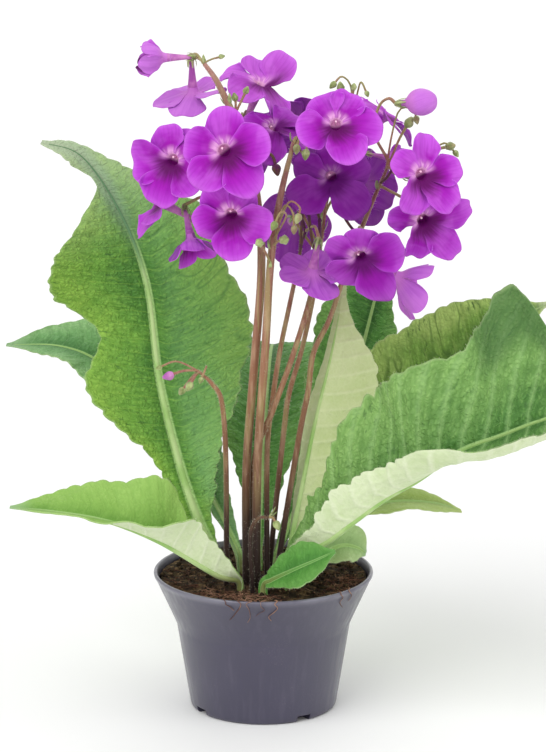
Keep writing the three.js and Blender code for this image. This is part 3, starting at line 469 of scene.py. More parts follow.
class Look:
    """A material under construction: its nodes are added one by one and joined to the shader."""

    def __init__(self, name, roughness=0.6, sheen=0, sheen_tint=(255, 255, 255), specular=0.5):
        self.material = bpy.data.materials.new(name)
        self.material.use_nodes = True
        self.tree = self.material.node_tree
        self.shader = self.tree.nodes["Principled BSDF"]
        self.set(self.shader, "Roughness", roughness)
        self.set(self.shader, "Specular IOR Level", specular)
        self.set(self.shader, "Sheen Weight", sheen)
        self.set(self.shader, "Sheen Roughness", 0.4)
        self.set(self.shader, "Sheen Tint", colour(*sheen_tint))
        self.coordinates = self.tree.nodes.new("ShaderNodeTexCoord").outputs["Object"]

    def set(self, node, socket, value):
        """Joins a socket to another node's output, or gives it a plain value."""
        if isinstance(value, bpy.types.NodeSocket):
            self.tree.links.new(value, node.inputs[socket])
        else:
            node.inputs[socket].default_value = value

    def stretched(self, scale):
        """The object's own coordinates times scale along each axis."""
        mapping = self.tree.nodes.new("ShaderNodeMapping")
        self.set(mapping, "Vector", self.coordinates)
        self.set(mapping, "Scale", scale)
        return mapping.outputs["Vector"]

    def attribute(self, name):
        """The three numbers kept on each point of the mesh under that name."""
        node = self.tree.nodes.new("ShaderNodeAttribute")
        node.attribute_name = name
        return self.split(node.outputs["Vector"])

    def split(self, vector):
        node = self.tree.nodes.new("ShaderNodeSeparateXYZ")
        self.set(node, 0, vector)
        return node.outputs[0], node.outputs[1], node.outputs[2]

    def point(self, x, y, z=0.0):
        node = self.tree.nodes.new("ShaderNodeCombineXYZ")
        for socket, value in enumerate((x, y, z)):
            self.set(node, socket, value)
        return node.outputs[0]

    def calc(self, operation, *values):
        node = self.tree.nodes.new("ShaderNodeMath")
        node.operation = operation
        for socket, value in enumerate(values):
            self.set(node, socket, value)
        return node.outputs[0]

    def times(self, first, second):
        return self.calc("MULTIPLY", first, second)

    def plus(self, first, second):
        return self.calc("ADD", first, second)

    def less(self, first, second):
        return self.calc("SUBTRACT", first, second)

    def size(self, value):
        return self.calc("ABSOLUTE", value)

    def step(self, value, low, high, start=0.0, end=1.0):
        """start below low, end above high, with a soft step between."""
        node = self.tree.nodes.new("ShaderNodeMapRange")
        node.interpolation_type = "SMOOTHSTEP"
        for socket, number in zip(("Value", "From Min", "From Max", "To Min", "To Max"),
                                  (value, low, high, start, end)):
            self.set(node, socket, number)
        return node.outputs[0]

    def cloud(self, scale, source=None, detail=3.0, roughness=0.55, distortion=0.0):
        """Cloudy noise, from about 0.25 to 0.75."""
        node = self.tree.nodes.new("ShaderNodeTexNoise")
        for socket, number in (("Scale", scale), ("Detail", detail), ("Roughness", roughness),
                               ("Distortion", distortion)):
            self.set(node, socket, number)
        self.set(node, "Vector", source or self.coordinates)
        return node.outputs["Fac"]

    def cells(self, scale, source):
        """The distance to the nearest border of a net of cells."""
        node = self.tree.nodes.new("ShaderNodeTexVoronoi")
        node.feature = "DISTANCE_TO_EDGE"
        self.set(node, "Scale", scale)
        self.set(node, "Vector", source)
        return node.outputs["Distance"]

    def mix(self, amount, under, over, mode="MIX"):
        """over laid on under: 0 shows none of it, 1 all."""
        node = self.tree.nodes.new("ShaderNodeMix")
        node.data_type = "RGBA"
        node.blend_type = mode
        self.set(node, 0, amount)
        self.set(node, 6, under)
        self.set(node, 7, over)
        return node.outputs[2]

    def patched(self, scale, low, high, under, over, most=1.0):
        """over laid on under in soft patches, most of it where the cloud is above high."""
        return self.mix(self.step(self.cloud(scale), low, high, 0, most), under, over)

    def ramp(self, value, stops):
        """A run of colours: stops is a list of (place, colour)."""
        node = self.tree.nodes.new("ShaderNodeValToRGB")
        elements = node.color_ramp.elements
        while len(elements) < len(stops):
            elements.new(0.5)
        for element, (place, shade) in zip(elements, stops):
            element.position = place
            element.color = shade
        self.set(node, 0, value)
        return node.outputs["Color"]

    def relief(self, height, depth):
        """Raises the surface by height (0 to 1) times depth in millimetres."""
        node = self.tree.nodes.new("ShaderNodeBump")
        self.set(node, "Strength", 1.0)
        self.set(node, "Distance", depth * MM)
        self.set(node, "Height", height)
        if self.shader.inputs["Normal"].links:
            self.set(node, "Normal", self.shader.inputs["Normal"].links[0].from_socket)
        self.set(self.shader, "Normal", node.outputs[0])

    def done(self, base, roughness=None):
        """The finished material, with base for its colour."""
        self.set(self.shader, "Base Color", base)
        if roughness is not None:
            self.set(self.shader, "Roughness", roughness)
        return self.material


def moulded_plastic():
    """Dark grey-violet nursery pot: satin, with faint upright streaks, a scuffed rim and dusty patches."""
    look = Look("moulded_plastic", specular=0.7)
    look.set(look.shader, "Coat Weight", 0.45)
    look.set(look.shader, "Coat Roughness", 0.22)
    look.set(look.shader, "Coat IOR", 1.6)
    streaks = look.cloud(1.0, look.stretched((260, 260, 12)), detail=2)
    patches = look.cloud(34, detail=4)
    grains = look.cloud(1400, detail=1)
    _, _, height = look.split(look.coordinates)
    base = look.mix(patches, colour(41, 37, 62), colour(53, 48, 77))
    base = look.mix(look.step(streaks, 0.45, 0.75, 0, 0.25), base, colour(84, 80, 100))
    rim = look.step(height, 0.0715, 0.0755)
    scuffs = look.times(rim, look.step(patches, 0.35, 0.6, 0.25, 0.8))
    base = look.mix(scuffs, base, colour(124, 122, 136))
    dust = look.times(look.step(grains, 0.6, 0.72), look.step(patches, 0.52, 0.64, 0, 0.16))
    base = look.mix(dust, base, colour(120, 108, 104))
    look.relief(look.cloud(900, detail=2), 0.05)
    return look.done(base, look.step(streaks, 0.3, 0.7, 0.3, 0.46))


def peat():
    """Compost: dark brown and lumpy, with paler chips."""
    look = Look("peat", roughness=0.95, specular=0.2)
    lumps = look.cloud(160, detail=5, roughness=0.7)
    base = look.ramp(lumps, [
        (0.3, colour(17, 13, 10)), (0.5, colour(55, 44, 32)), (0.68, colour(112, 88, 62))])
    chips = look.cloud(420, detail=2)
    base = look.mix(look.step(chips, 0.6, 0.66, 0, 0.7), base, colour(142, 116, 88))
    look.relief(look.cloud(700, detail=4), 0.9)
    return look.done(base)


def peat_fibre(name, dark, pale):
    """Fibres and roots, in patches from dark to pale."""
    look = Look(name, roughness=0.8, specular=0.25)
    base = look.patched(90, 0.35, 0.65, colour(*dark), colour(*pale))
    return look.done(base)


def leaf_upper(name, deep, mid, edge, rib_reach=1.0, pucker=1.0, rib_share=1.0, tip=(150, 184, 136),
               flecks=0.0, groove_shading=0.0, fold_shade=0.0):
    """Upper side of a leaf: small cushions between sunken veins, lighter to the margin, with painted shade in
    the hollows, wrinkles and folds and painted light on the crowns of its puckers.

    deep, mid and edge are its greens from the midrib to the margin, rib_reach is how far up the leaf its
    midrib stays pale (above it, painted shade fills the gutter along the midrib and a bluer green is painted
    on the shaded right half), pucker how deep the cushions are and how much shade and light is painted on
    them, rib_share how wide the pale band of the midrib is, tip the colour it ends in, flecks how much shade
    is painted in its wrinkles, bands how much light is painted along its side veins and shade between them
    and in a fold near its tip, and creases how much shade is painted along the long folds of its right half
    (below 0 of its left half).
    """
    deep, mid, edge = colour(*deep), colour(*mid), colour(*edge)
    look = Look(name, roughness=0.55, sheen=0.12, sheen_tint=(215, 235, 200), specular=0.3)
    across, ahead, side_vein = look.attribute("blade")
    share, along, raised = look.attribute("part")
    flat = look.point(across, ahead)
    lanes = look.point(look.times(across, 0.3), look.times(side_vein, 9.0))
    puckers = look.cloud(0.5, lanes, detail=3, roughness=0.6)
    wander = look.cloud(0.3, flat, detail=2)
    net = look.cells(0.4, look.point(look.plus(across, look.times(wander, 4.0)), ahead))
    cushion = look.step(net, 0.0, 0.34)
    beside = look.calc("PINGPONG", side_vein, 0.5)
    spread = look.plus(share, look.times(look.less(look.cloud(0.03, flat), 0.5), 1.4))
    base = look.ramp(spread, [(0.0, deep), (0.45, mid), (0.95, edge)])
    # dark: the green of the shade painted below into hollows, wrinkles, folds and grooves.
    dark = look.mix(0.75, base, deep, "MULTIPLY")
    # Painted shade in the valleys of the puckers, and painted light on their crowns.
    base = look.mix(look.step(puckers, 0.36, 0.6, 0.42 * pucker, 0), base, dark)
    base = look.mix(look.step(puckers, 0.52, 0.72, 0, 0.35 * pucker), base, edge)
    # Painted shade where the sheet is raised least.
    base = look.mix(look.step(raised, 0.05, 0.55, 0.55 * pucker, 0), base, dark)
    # Painted shade along the sunken net of small veins.
    base = look.mix(look.step(cushion, 0.0, 0.7, 0.3 * pucker, 0), base, dark)
    # flecks: painted shade in the folds of fine wrinkles, in patches.
    if flecks:
        shreds = look.cloud(0.16, look.point(across, look.times(side_vein, 26.0)), detail=3, roughness=0.6)
        where = look.step(look.cloud(0.035, flat, detail=2), 0.46, 0.6, 0.15, 1)
        folds = look.times(look.step(shreds, 0.56, 0.66, 0, flecks), where)
        base = look.mix(folds, base, look.mix(0.55, deep, colour(30, 62, 34)))
    # creases: painted shade along long folds of the right half (of the left half when creases is below 0).
    if fold_shade:
        long_lanes = look.point(look.times(across, 0.6), look.times(side_vein, 15.0))
        folds = look.cloud(0.05, long_lanes, detail=1, distortion=0.5)
        line = look.step(look.size(look.less(folds, 0.5)), 0.0, 0.055, abs(fold_shade), 0)
        half = look.step(look.times(across, math.copysign(1, fold_shade)), 2, 12, 0.12, 1)
        where = look.step(look.cloud(0.03, flat, detail=1), 0.42, 0.56, 0.1, 1)
        base = look.mix(look.times(look.times(line, half), where), base, dark)
    base = look.mix(look.step(beside, 0.015, 0.06, 0.26 * pucker, 0), base, edge)
    # bands: painted light along the side veins and painted shade in the grooves between them.
    if groove_shading:
        waver = look.plus(beside, look.times(look.less(wander, 0.5), 0.3))
        base = look.mix(look.step(waver, 0.02, 0.22, groove_shading, 0), base, colour(166, 206, 136))
        base = look.mix(look.step(waver, 0.3, 0.48, 0, groove_shading * 0.7), base, dark)
        # Painted shade in a fold of the blade towards its tip.
        folded = look.times(look.step(along, 0.68, 0.76), look.step(along, 0.85, 0.93, 0.7, 0))
        base = look.mix(look.times(folded, look.step(share, 0.45, 0.7)), base, colour(58, 100, 48))
    near_rib = look.calc("DIVIDE", look.size(across), look.less(1.3, along))
    halo = look.times(look.step(near_rib, 1.5 * rib_share, 2.4 * rib_share, 0.8, 0),
                      look.step(along, rib_reach - 0.12, rib_reach, 1, 0.1))
    if rib_reach < 1:
        # A bluer green painted on the right half, the side in shade, more of it lower down.
        shaded_half_tint = look.times(look.step(across, 2, 14, 0, 0.54), look.step(along, 0.66, 0.3, 0.4, 1))
        base = look.mix(shaded_half_tint, base, colour(124, 174, 120))
    base = look.mix(halo, base, colour(168, 206, 128))
    if rib_reach < 1:
        # Painted shade in the gutter that the folded leaf makes along its midrib above rib_reach, darkest in
        # its crease.
        above = look.step(along, rib_reach - 0.12, rib_reach + 0.06)
        gutter = look.times(look.step(look.size(across), 2.5, 8, 0.6, 0), above)
        base = look.mix(gutter, base, colour(118, 158, 122))
        crease = look.times(look.step(look.size(across), 0.5, 1.9, 0.8, 0), above)
        base = look.mix(crease, base, colour(58, 98, 62))
    base = look.mix(look.step(share, 0.965, 1.0, 0, 0.35), base, colour(186, 210, 150))
    base = look.mix(look.step(along, 0.7 if rib_reach < 1 else 0.92, 1.0, 0, 0.75), base, colour(*tip))
    height = look.plus(puckers, look.times(cushion, 0.35))
    look.relief(height, 1.15 * max(pucker, 0.3))
    return look.done(base, look.step(cushion, 0, 1, 0.62, 0.5))


def leaf_under(name, pale, green):
    """Under side: pale and downy, with a raised net of veins and green between them."""
    pale, green = colour(*pale), colour(*green)
    look = Look(name, roughness=0.7, sheen=0.3, sheen_tint=(240, 250, 230), specular=0.2)
    across, ahead, side_vein = look.attribute("blade")
    share, _, _ = look.attribute("part")
    flat = look.point(across, ahead)
    net = look.step(look.cells(0.33, flat), 0.0, 0.16)
    beside = look.calc("PINGPONG", side_vein, 0.5)
    between = look.step(beside, 0.01, 0.16)
    patches = look.step(look.cloud(0.04, flat), 0.35, 0.65, 0.15, 0.65)
    mottle = look.cloud(0.35, flat, detail=3)
    base = look.mix(look.times(between, patches), pale, green)
    base = look.mix(look.step(mottle, 0.4, 0.65, 0, 0.35), base, pale)
    base = look.mix(look.times(net, 0.2), base, green)
    base = look.mix(look.step(share, 0.9, 1.0, 0, 0.5), base, pale)
    ridges = look.times(between, look.step(net, 0, 1, 0.75, 1))
    look.relief(look.less(1.0, ridges), 0.28)
    look.relief(mottle, 0.5)
    return look.done(base)


def midrib_look(name, tip, reach=0.75):
    """Midrib: brownish at the foot, pale green above, and from reach on the green of its blade."""
    look = Look(name, roughness=0.55, sheen=0.3, specular=0.3)
    _, _, height = look.split(look.coordinates)
    along, side, _ = look.attribute("part")
    base = look.patched(60, 0.35, 0.65, colour(150, 190, 106), colour(182, 208, 140))
    greener = look.times(look.step(along, reach - 0.1, reach), look.step(side, -0.1, 0.3, 0.2, 1))
    base = look.mix(greener, base, tip)
    base = look.mix(look.step(height, 0.078, 0.092, 0.7, 0), base, colour(120, 110, 60))
    return look.done(base)


def stem_look():
    """Flower stems: dark brown at the foot, red-brown above and pinker towards the blooms, softly hairy."""
    look = Look("stem", roughness=0.5, sheen=0.3, sheen_tint=(240, 220, 215), specular=0.35)
    _, _, height = look.split(look.coordinates)
    flecks = look.cloud(1.0, look.stretched((420, 420, 60)), detail=3)
    streaks = look.cloud(1.0, look.stretched((300, 300, 14)), detail=2)
    rise = look.plus(height, look.times(look.less(look.cloud(25), 0.5), 0.06))
    base = look.ramp(look.times(rise, 2.6), [
        (0.19, colour(30, 18, 16)), (0.26, colour(54, 34, 27)), (0.36, colour(108, 72, 50)),
        (0.48, colour(150, 106, 76)), (0.62, colour(150, 100, 82)), (0.78, colour(138, 84, 80)),
        (0.95, colour(176, 122, 116))])
    green = look.times(look.step(streaks, 0.46, 0.64, 0, 0.6), look.step(height, 0.1, 0.17))
    base = look.mix(green, base, colour(164, 152, 98))
    pale = look.times(look.step(flecks, 0.45, 0.7, 0, 0.4), look.step(height, 0.1, 0.17))
    base = look.mix(pale, base, colour(206, 172, 140))
    look.relief(flecks, 0.25)
    return look.done(base)


def stalk_look():
    """Flower stalks: olive and pinkish brown in turns."""
    look = Look("stalk", roughness=0.55, sheen=0.35, sheen_tint=(235, 225, 205), specular=0.3)
    base = look.patched(45, 0.4, 0.6, colour(150, 142, 88), colour(158, 106, 92))
    base = look.patched(300, 0.45, 0.7, base, colour(196, 176, 128), 0.4)
    return look.done(base)


def calyx_look():
    """Calyces, buds and bracts: pale green with a little pinkish brown."""
    look = Look("calyx", roughness=0.55, sheen=0.4, specular=0.3)
    base = look.patched(220, 0.35, 0.65, colour(126, 142, 80), colour(182, 194, 132))
    base = look.patched(70, 0.52, 0.68, base, colour(150, 104, 92), 0.6)
    return look.done(base)


def spent_look():
    """Stalks whose bloom has dropped: dark wine-brown."""
    look = Look("spent", roughness=0.7, sheen=0.2, specular=0.2)
    return look.done(look.patched(160, 0.4, 0.62, colour(96, 44, 84), colour(112, 86, 62)))


def hair_look():
    """Fine hairs: pale green to cream."""
    look = Look("hair", roughness=0.5, sheen=0.3, specular=0.3)
    return look.done(look.mix(look.cloud(90), colour(214, 214, 178), colour(238, 232, 214)))


def petal_front():
    """Face of a lobe: violet, wine-dark below the throat, a small pale star above it, painted light and
    shade.
    """
    look = Look("petal_front", roughness=0.62, sheen=0.1, sheen_tint=(255, 170, 255), specular=0.15)
    u, v, pale = look.attribute("lobe")
    x, y, painted_shade = look.attribute("face")
    out = look.calc("SQRT", look.plus(look.times(x, x), look.times(y, y)))
    upness = look.calc("DIVIDE", y, look.plus(out, 0.5))
    turn = look.calc("ARCTAN2", x, y)
    soft = look.cloud(52, detail=3, distortion=0.4)
    margin = look.calc("MAXIMUM", v, look.times(look.size(u), 0.95))
    # Its own violet, deepest near the throat; the lightest stops towards the margin are a painted velvet
    # highlight.
    base = look.ramp(margin, [
        (0.25, colour(150, 4, 158)), (0.6, colour(168, 26, 184)), (0.85, colour(186, 62, 208)),
        (1.0, colour(204, 100, 226))])
    # Soft patches of painted light, where the lobe's undulations would catch it.
    base = look.mix(look.step(soft, 0.42, 0.64, 0, 0.6), base, colour(204, 98, 224))
    # pale: painted light, paler and pinker, on the blooms lit from above and those lit from behind.
    base = look.mix(look.times(pale, 0.7), base, colour(218, 136, 230))
    streaks = look.cloud(1.0, look.point(look.times(u, 6.0), look.times(v, 1.4), 0.0), detail=1)
    base = look.mix(look.step(streaks, 0.42, 0.66, 0, 0.16), base, colour(132, 0, 152))
    veins = look.cloud(1.0, look.point(look.times(u, 17.0), look.times(v, 1.1), 3.0), detail=1)
    base = look.mix(look.step(veins, 0.52, 0.62, 0, 0.13), base, colour(120, 0, 140))
    blotch = look.plus(out, look.times(look.less(streaks, 0.5), 9.0))
    below = look.step(upness, -0.45, 0.4, 1, 0)
    dark = look.times(look.step(blotch, 5.5, 15.5, 0.96, 0), below)
    base = look.mix(dark, base, colour(92, 0, 88))
    rays = look.cloud(1.0, look.point(look.times(turn, 3.4), look.times(out, 0.08)), detail=1)
    reach = look.times(look.step(out, 4.0, 9.4, 1, 0), look.step(upness, -0.3, 0.35))
    star = look.times(reach, look.step(rays, 0.42, 0.56, 0.35, 0.95))
    base = look.mix(star, base, colour(238, 172, 228))
    inner = look.times(look.step(out, 3.3, 4.4, 0.85, 0), look.step(y, -0.8, 1.2))
    base = look.mix(inner, base, colour(240, 178, 222))
    # tone: painted shade, for blooms in the shade of the others.
    base = look.mix(look.times(look.calc("MAXIMUM", painted_shade, 0.0), 0.75), base, colour(84, 0, 108))
    look.relief(streaks, 0.12)
    look.relief(veins, 0.05)
    look.relief(look.cloud(900, detail=1), 0.05)
    return look.done(base)


def petal_back():
    """Back of a lobe: lighter and duller violet than its face, palest towards the tube, with painted light
    and shade.
    """
    look = Look("petal_back", roughness=0.62, sheen=0.2, sheen_tint=(255, 210, 255), specular=0.15)
    u, v, pale = look.attribute("lobe")
    _, _, painted_shade = look.attribute("face")
    streaks = look.cloud(1.0, look.point(look.times(u, 8.0), look.times(v, 1.2)), detail=1)
    patches = look.cloud(70, detail=2)
    base = look.mix(look.step(streaks, 0.3, 0.7), colour(166, 60, 194), colour(188, 92, 211))
    base = look.mix(look.step(patches, 0.42, 0.66, 0, 0.5), base, colour(208, 122, 222))
    # pale: painted light, paler and pinker, on the blooms lit from above and those lit from behind.
    base = look.mix(look.times(pale, 0.7), base, colour(222, 146, 232))
    base = look.mix(look.step(v, 0.1, 0.5, 0.55, 0), base, colour(212, 132, 206))
    # tone: painted shade on the backs, for blooms in the shade of the others.
    base = look.mix(look.times(look.size(painted_shade), 0.75), base, colour(84, 4, 108))
    look.relief(streaks, 0.15)
    return look.done(base)


def bloom_tube_look():
    """Outside of a bloom's tube: pinkish violet."""
    look = Look("bloom_tube", roughness=0.55, sheen=0.3, specular=0.25)
    base = look.patched(130, 0.35, 0.65, colour(172, 84, 172), colour(212, 138, 200))
    return look.done(base)


def throat_look():
    """Inside of the tube: pale above, wine-dark below."""
    look = Look("throat", roughness=0.8, specular=0.1)
    _, y, _ = look.attribute("face")
    pale = look.mix(look.cloud(300), colour(226, 140, 200), colour(240, 180, 220))
    return look.done(look.mix(look.step(y, -1.4, 1.3), colour(92, 0, 88), pale))


def pistil_look():
    """The style in the throat: pale pink."""
    look = Look("pistil", roughness=0.8, specular=0.1)
    return look.done(look.mix(look.cloud(400), colour(236, 176, 216), colour(244, 204, 214)))


# ---- Pot and compost -----------------------------------------------------------------------------

def spin_profile(bm, profile, steps):
    """Turns a run of (radius, height) once round the Z axis."""
    corners = [bm.verts.new((radius, 0, height)) for radius, height in profile]
    edges = [bm.edges.new(pair) for pair in zip(corners, corners[1:])]
    bmesh.ops.spin(bm, geom=corners + edges, cent=(0, 0, 0), axis=(0, 0, 1), angle=2 * math.pi, steps=steps,
                   use_merge=True)
    bmesh.ops.remove_doubles(bm, verts=bm.verts, dist=1e-4)
    bmesh.ops.recalc_face_normals(bm, faces=bm.faces)


def make_pot():
    """The turned pot, with its drain notches cut through the foot."""
    lip = RIM_RADIUS
    lean = (BODY_TOP_RADIUS - 0.1 - BASE_RADIUS) / (BODY_TOP_HEIGHT - 3.7)
    heights = (4.2, 5, 6.5, 10, 16, 24, 32, 40)
    body_rings = [(BASE_RADIUS + lean * (height - 2.2), height) for height in heights]
    profile = [
        (0, 0), *BASE_RECESS, (BASE_RADIUS - 2.4, 0), (BASE_RADIUS - 1.2, 0.25), (BASE_RADIUS - 0.4, 0.9),
        (BASE_RADIUS, 2.2), *body_rings,
        (BODY_TOP_RADIUS - 0.1, BODY_TOP_HEIGHT - 1.5), (BODY_TOP_RADIUS + 0.1, BODY_TOP_HEIGHT),
        (COLLAR_FOOT_RADIUS - 0.3, COLLAR_FOOT_HEIGHT - 0.9), (COLLAR_FOOT_RADIUS + 0.1, COLLAR_FOOT_HEIGHT),
        (lip - 0.75, POT_HEIGHT - 2.6), (lip - 0.2, POT_HEIGHT - 2), (lip, POT_HEIGHT - 1.2),
        (lip - 0.15, POT_HEIGHT - 0.5), (lip - 0.6, POT_HEIGHT - 0.05), (lip - 1.3, POT_HEIGHT),
        (lip - 1.9, POT_HEIGHT - 0.4), (lip - 2.3, POT_HEIGHT - 2),
        (COLLAR_FOOT_RADIUS - WALL, COLLAR_FOOT_HEIGHT + 0.6),
        (BODY_TOP_RADIUS - WALL, BODY_TOP_HEIGHT + 0.6),
        (BASE_RADIUS - WALL, FLOOR_TOP + 1), (BASE_RADIUS - WALL - 1, FLOOR_TOP), (0, FLOOR_TOP),
    ]
    bm = bmesh.new()
    spin_profile(bm, profile, 144)
    pot = finish_piece("nursery_pot", bm, [moulded_plastic()], ["pot"])
    cutters = bmesh.new()
    for turn in NOTCH_TURNS:
        block = bmesh.ops.create_cube(cutters, size=1)["verts"]
        place = Matrix.Rotation(math.radians(turn), 4, "Z") @ Matrix.Translation((BASE_RADIUS - 2, 0, 0))
        bmesh.ops.scale(cutters, vec=Vector((11, NOTCH_WIDTH, 2 * NOTCH_HEIGHT)), verts=block)
        bmesh.ops.transform(cutters, matrix=place, verts=block)
    bmesh.ops.scale(cutters, vec=Vector((MM, MM, MM)), verts=cutters.verts)
    cut_with(pot, mesh_from(cutters, "notches"))


def cut_with(piece, cut_mesh):
    """Cuts a mesh out of a piece for good."""
    tool = placed("cutter", cut_mesh)
    cut = piece.modifiers.new("cut", "BOOLEAN")
    cut.operation = "DIFFERENCE"
    cut.object = tool
    bpy.context.view_layer.update()
    evaluated = piece.evaluated_get(bpy.context.evaluated_depsgraph_get())
    finished = bpy.data.meshes.new_from_object(evaluated)
    piece.modifiers.clear()
    piece.data = finished
    bpy.data.objects.remove(tool)


def compost_height(x, y):
    """Height of the loose surface: a low crown, soft lumps and crumbs."""
    radius = math.hypot(x, y)
    crown = COMPOST_EDGE + (COMPOST_CROWN - COMPOST_EDGE) * (1 - ease(16, 56, radius))
    soft = 1.3 * noise.noise(Vector((x / 17, y / 17, 3.1)))
    crumbs = (0.9 * noise.noise(Vector((x / 4.2, y / 4.2, 9.7)))
              + 0.5 * noise.noise(Vector((x / 1.9, y / 1.9, 1.4))))
    return crown + (soft + crumbs) * (1 - 0.5 * ease(50, 57, radius))


def make_compost():
    """The compost that fills the pot, its loose surface strewn with crumbs."""
    steps = 150
    rings = 46
    edge = RIM_RADIUS - WALL - 2.6
    profile = [(0, FLOOR_TOP + 0.3), (BASE_RADIUS - WALL - 1.6, FLOOR_TOP + 0.3),
               (BODY_TOP_RADIUS - WALL - 0.4, BODY_TOP_HEIGHT + 0.6),
               (COLLAR_FOOT_RADIUS - WALL - 0.4, COLLAR_FOOT_HEIGHT + 0.6), (edge, COMPOST_EDGE - 1.2)]
    profile += [(edge * (1 - i / rings), COMPOST_EDGE) for i in range(rings + 1)]
    bm = bmesh.new()
    spin_profile(bm, profile, steps)
    for corner in bm.verts:
        if corner.co.z > COMPOST_EDGE - 0.6:
            corner.co.z = compost_height(corner.co.x, corner.co.y)
    chance = random.Random(4)
    for _ in range(CRUMBS):
        turn, out = chance.uniform(0, 2 * math.pi), edge * math.sqrt(chance.random()) * 0.985
        x, y = out * math.cos(turn), out * math.sin(turn)
        size = chance.uniform(0.5, 1.5) * (1.5 if chance.random() < 0.12 else 1)
        crumb = bmesh.ops.create_icosphere(bm, subdivisions=1, radius=size)["verts"]
        squash = Matrix.Diagonal((chance.uniform(0.7, 1.3), chance.uniform(0.7, 1.3),
                                  chance.uniform(0.5, 0.9), 1))
        spin = Matrix.Rotation(chance.uniform(0, 6.3), 4, Vector((chance.random(), chance.random(), 1)))
        rise = compost_height(x, y) + size * 0.25
        bmesh.ops.transform(bm, matrix=Matrix.Translation((x, y, rise)) @ spin @ squash, verts=crumb)
    finish_piece("compost_top", bm, [peat()], ["compost"])


def make_fibres():
    """Coarse peat fibres that lie on the compost in tufts, and fine roots that hang over the rim in front."""
    chance = random.Random(11)
    runs = []
    tufts = []
    edge = RIM_RADIUS - WALL - 3
    for number in range(FIBRES):
        turn, out = chance.uniform(0, 2 * math.pi), edge * math.sqrt(chance.random()) * 0.97
        tufted = number % 3 == 0
        if tufted:
            turn = chance.choice((-1.75, -0.35, -2.2)) + chance.gauss(0, 0.22)
            out = edge * chance.uniform(0.72, 0.97)
        x, y = out * math.cos(turn), out * math.sin(turn)
        heading = chance.uniform(0, 2 * math.pi)
        radius = chance.uniform(0.1, 0.3)
        hop = chance.uniform(0.8, 1.7)
        run = []
        for i in range(9):
            lift = 0.25 + 1.4 * abs(math.sin(i * 0.8 + turn)) * chance.uniform(0.2, 1)
            run.append((Vector((x, y, compost_height(x, y) + lift)), radius * (1 - 0.06 * i)))
            heading += chance.uniform(-0.6, 0.6)
            x += hop * math.cos(heading)
            y += hop * math.sin(heading)
            if math.hypot(x, y) > edge:
                break
        if len(run) > 3:
            (tufts if tufted else runs).append(run)
    for turn in RIM_ROOT_TURNS:
        tufts.append(root_over_rim(turn + chance.uniform(-0.05, 0.05), chance))
    bm = bmesh.new()
    add_tubes(bm, runs, look=0, roundness=0)
    add_tubes(bm, tufts, look=1, roundness=0)
    looks = [peat_fibre("peat_fibre", (52, 32, 25), (98, 64, 48)),
             peat_fibre("root_fibre", (96, 60, 46), (168, 128, 104))]
    finish_piece("peat_fibres", bm, looks, [])


def root_over_rim(turn, chance):
    """A fine root from the compost, over the rim and a little way down the collar."""
    drop = chance.uniform(4, 14)
    thick = chance.uniform(0.18, 0.34)
    lip = RIM_RADIUS + 0.3
    slope = (RIM_RADIUS - COLLAR_FOOT_RADIUS) / (POT_HEIGHT - COLLAR_FOOT_HEIGHT)
    spots = [(lip - 9, COMPOST_EDGE + 1.2), (lip - 5, COMPOST_EDGE + 2.2), (lip - 2.4, POT_HEIGHT + 0.4),
             (lip - 0.8, POT_HEIGHT + 0.35), (lip + 0.1, POT_HEIGHT - 1)]
    spots += [(lip - slope * drop * part, POT_HEIGHT - 1 - drop * part) for part in (0.25, 0.5, 0.75, 1)]
    points = []
    for out, height in spots:
        turn += chance.uniform(-0.05, 0.05)
        points.append(Vector((out * math.cos(turn), out * math.sin(turn), height)))
    return [(smooth_run(points, i / 24, False), thick * (1 - 0.5 * i / 24)) for i in range(25)]


# ---- Leaves --------------------------------------------------------------------------------------

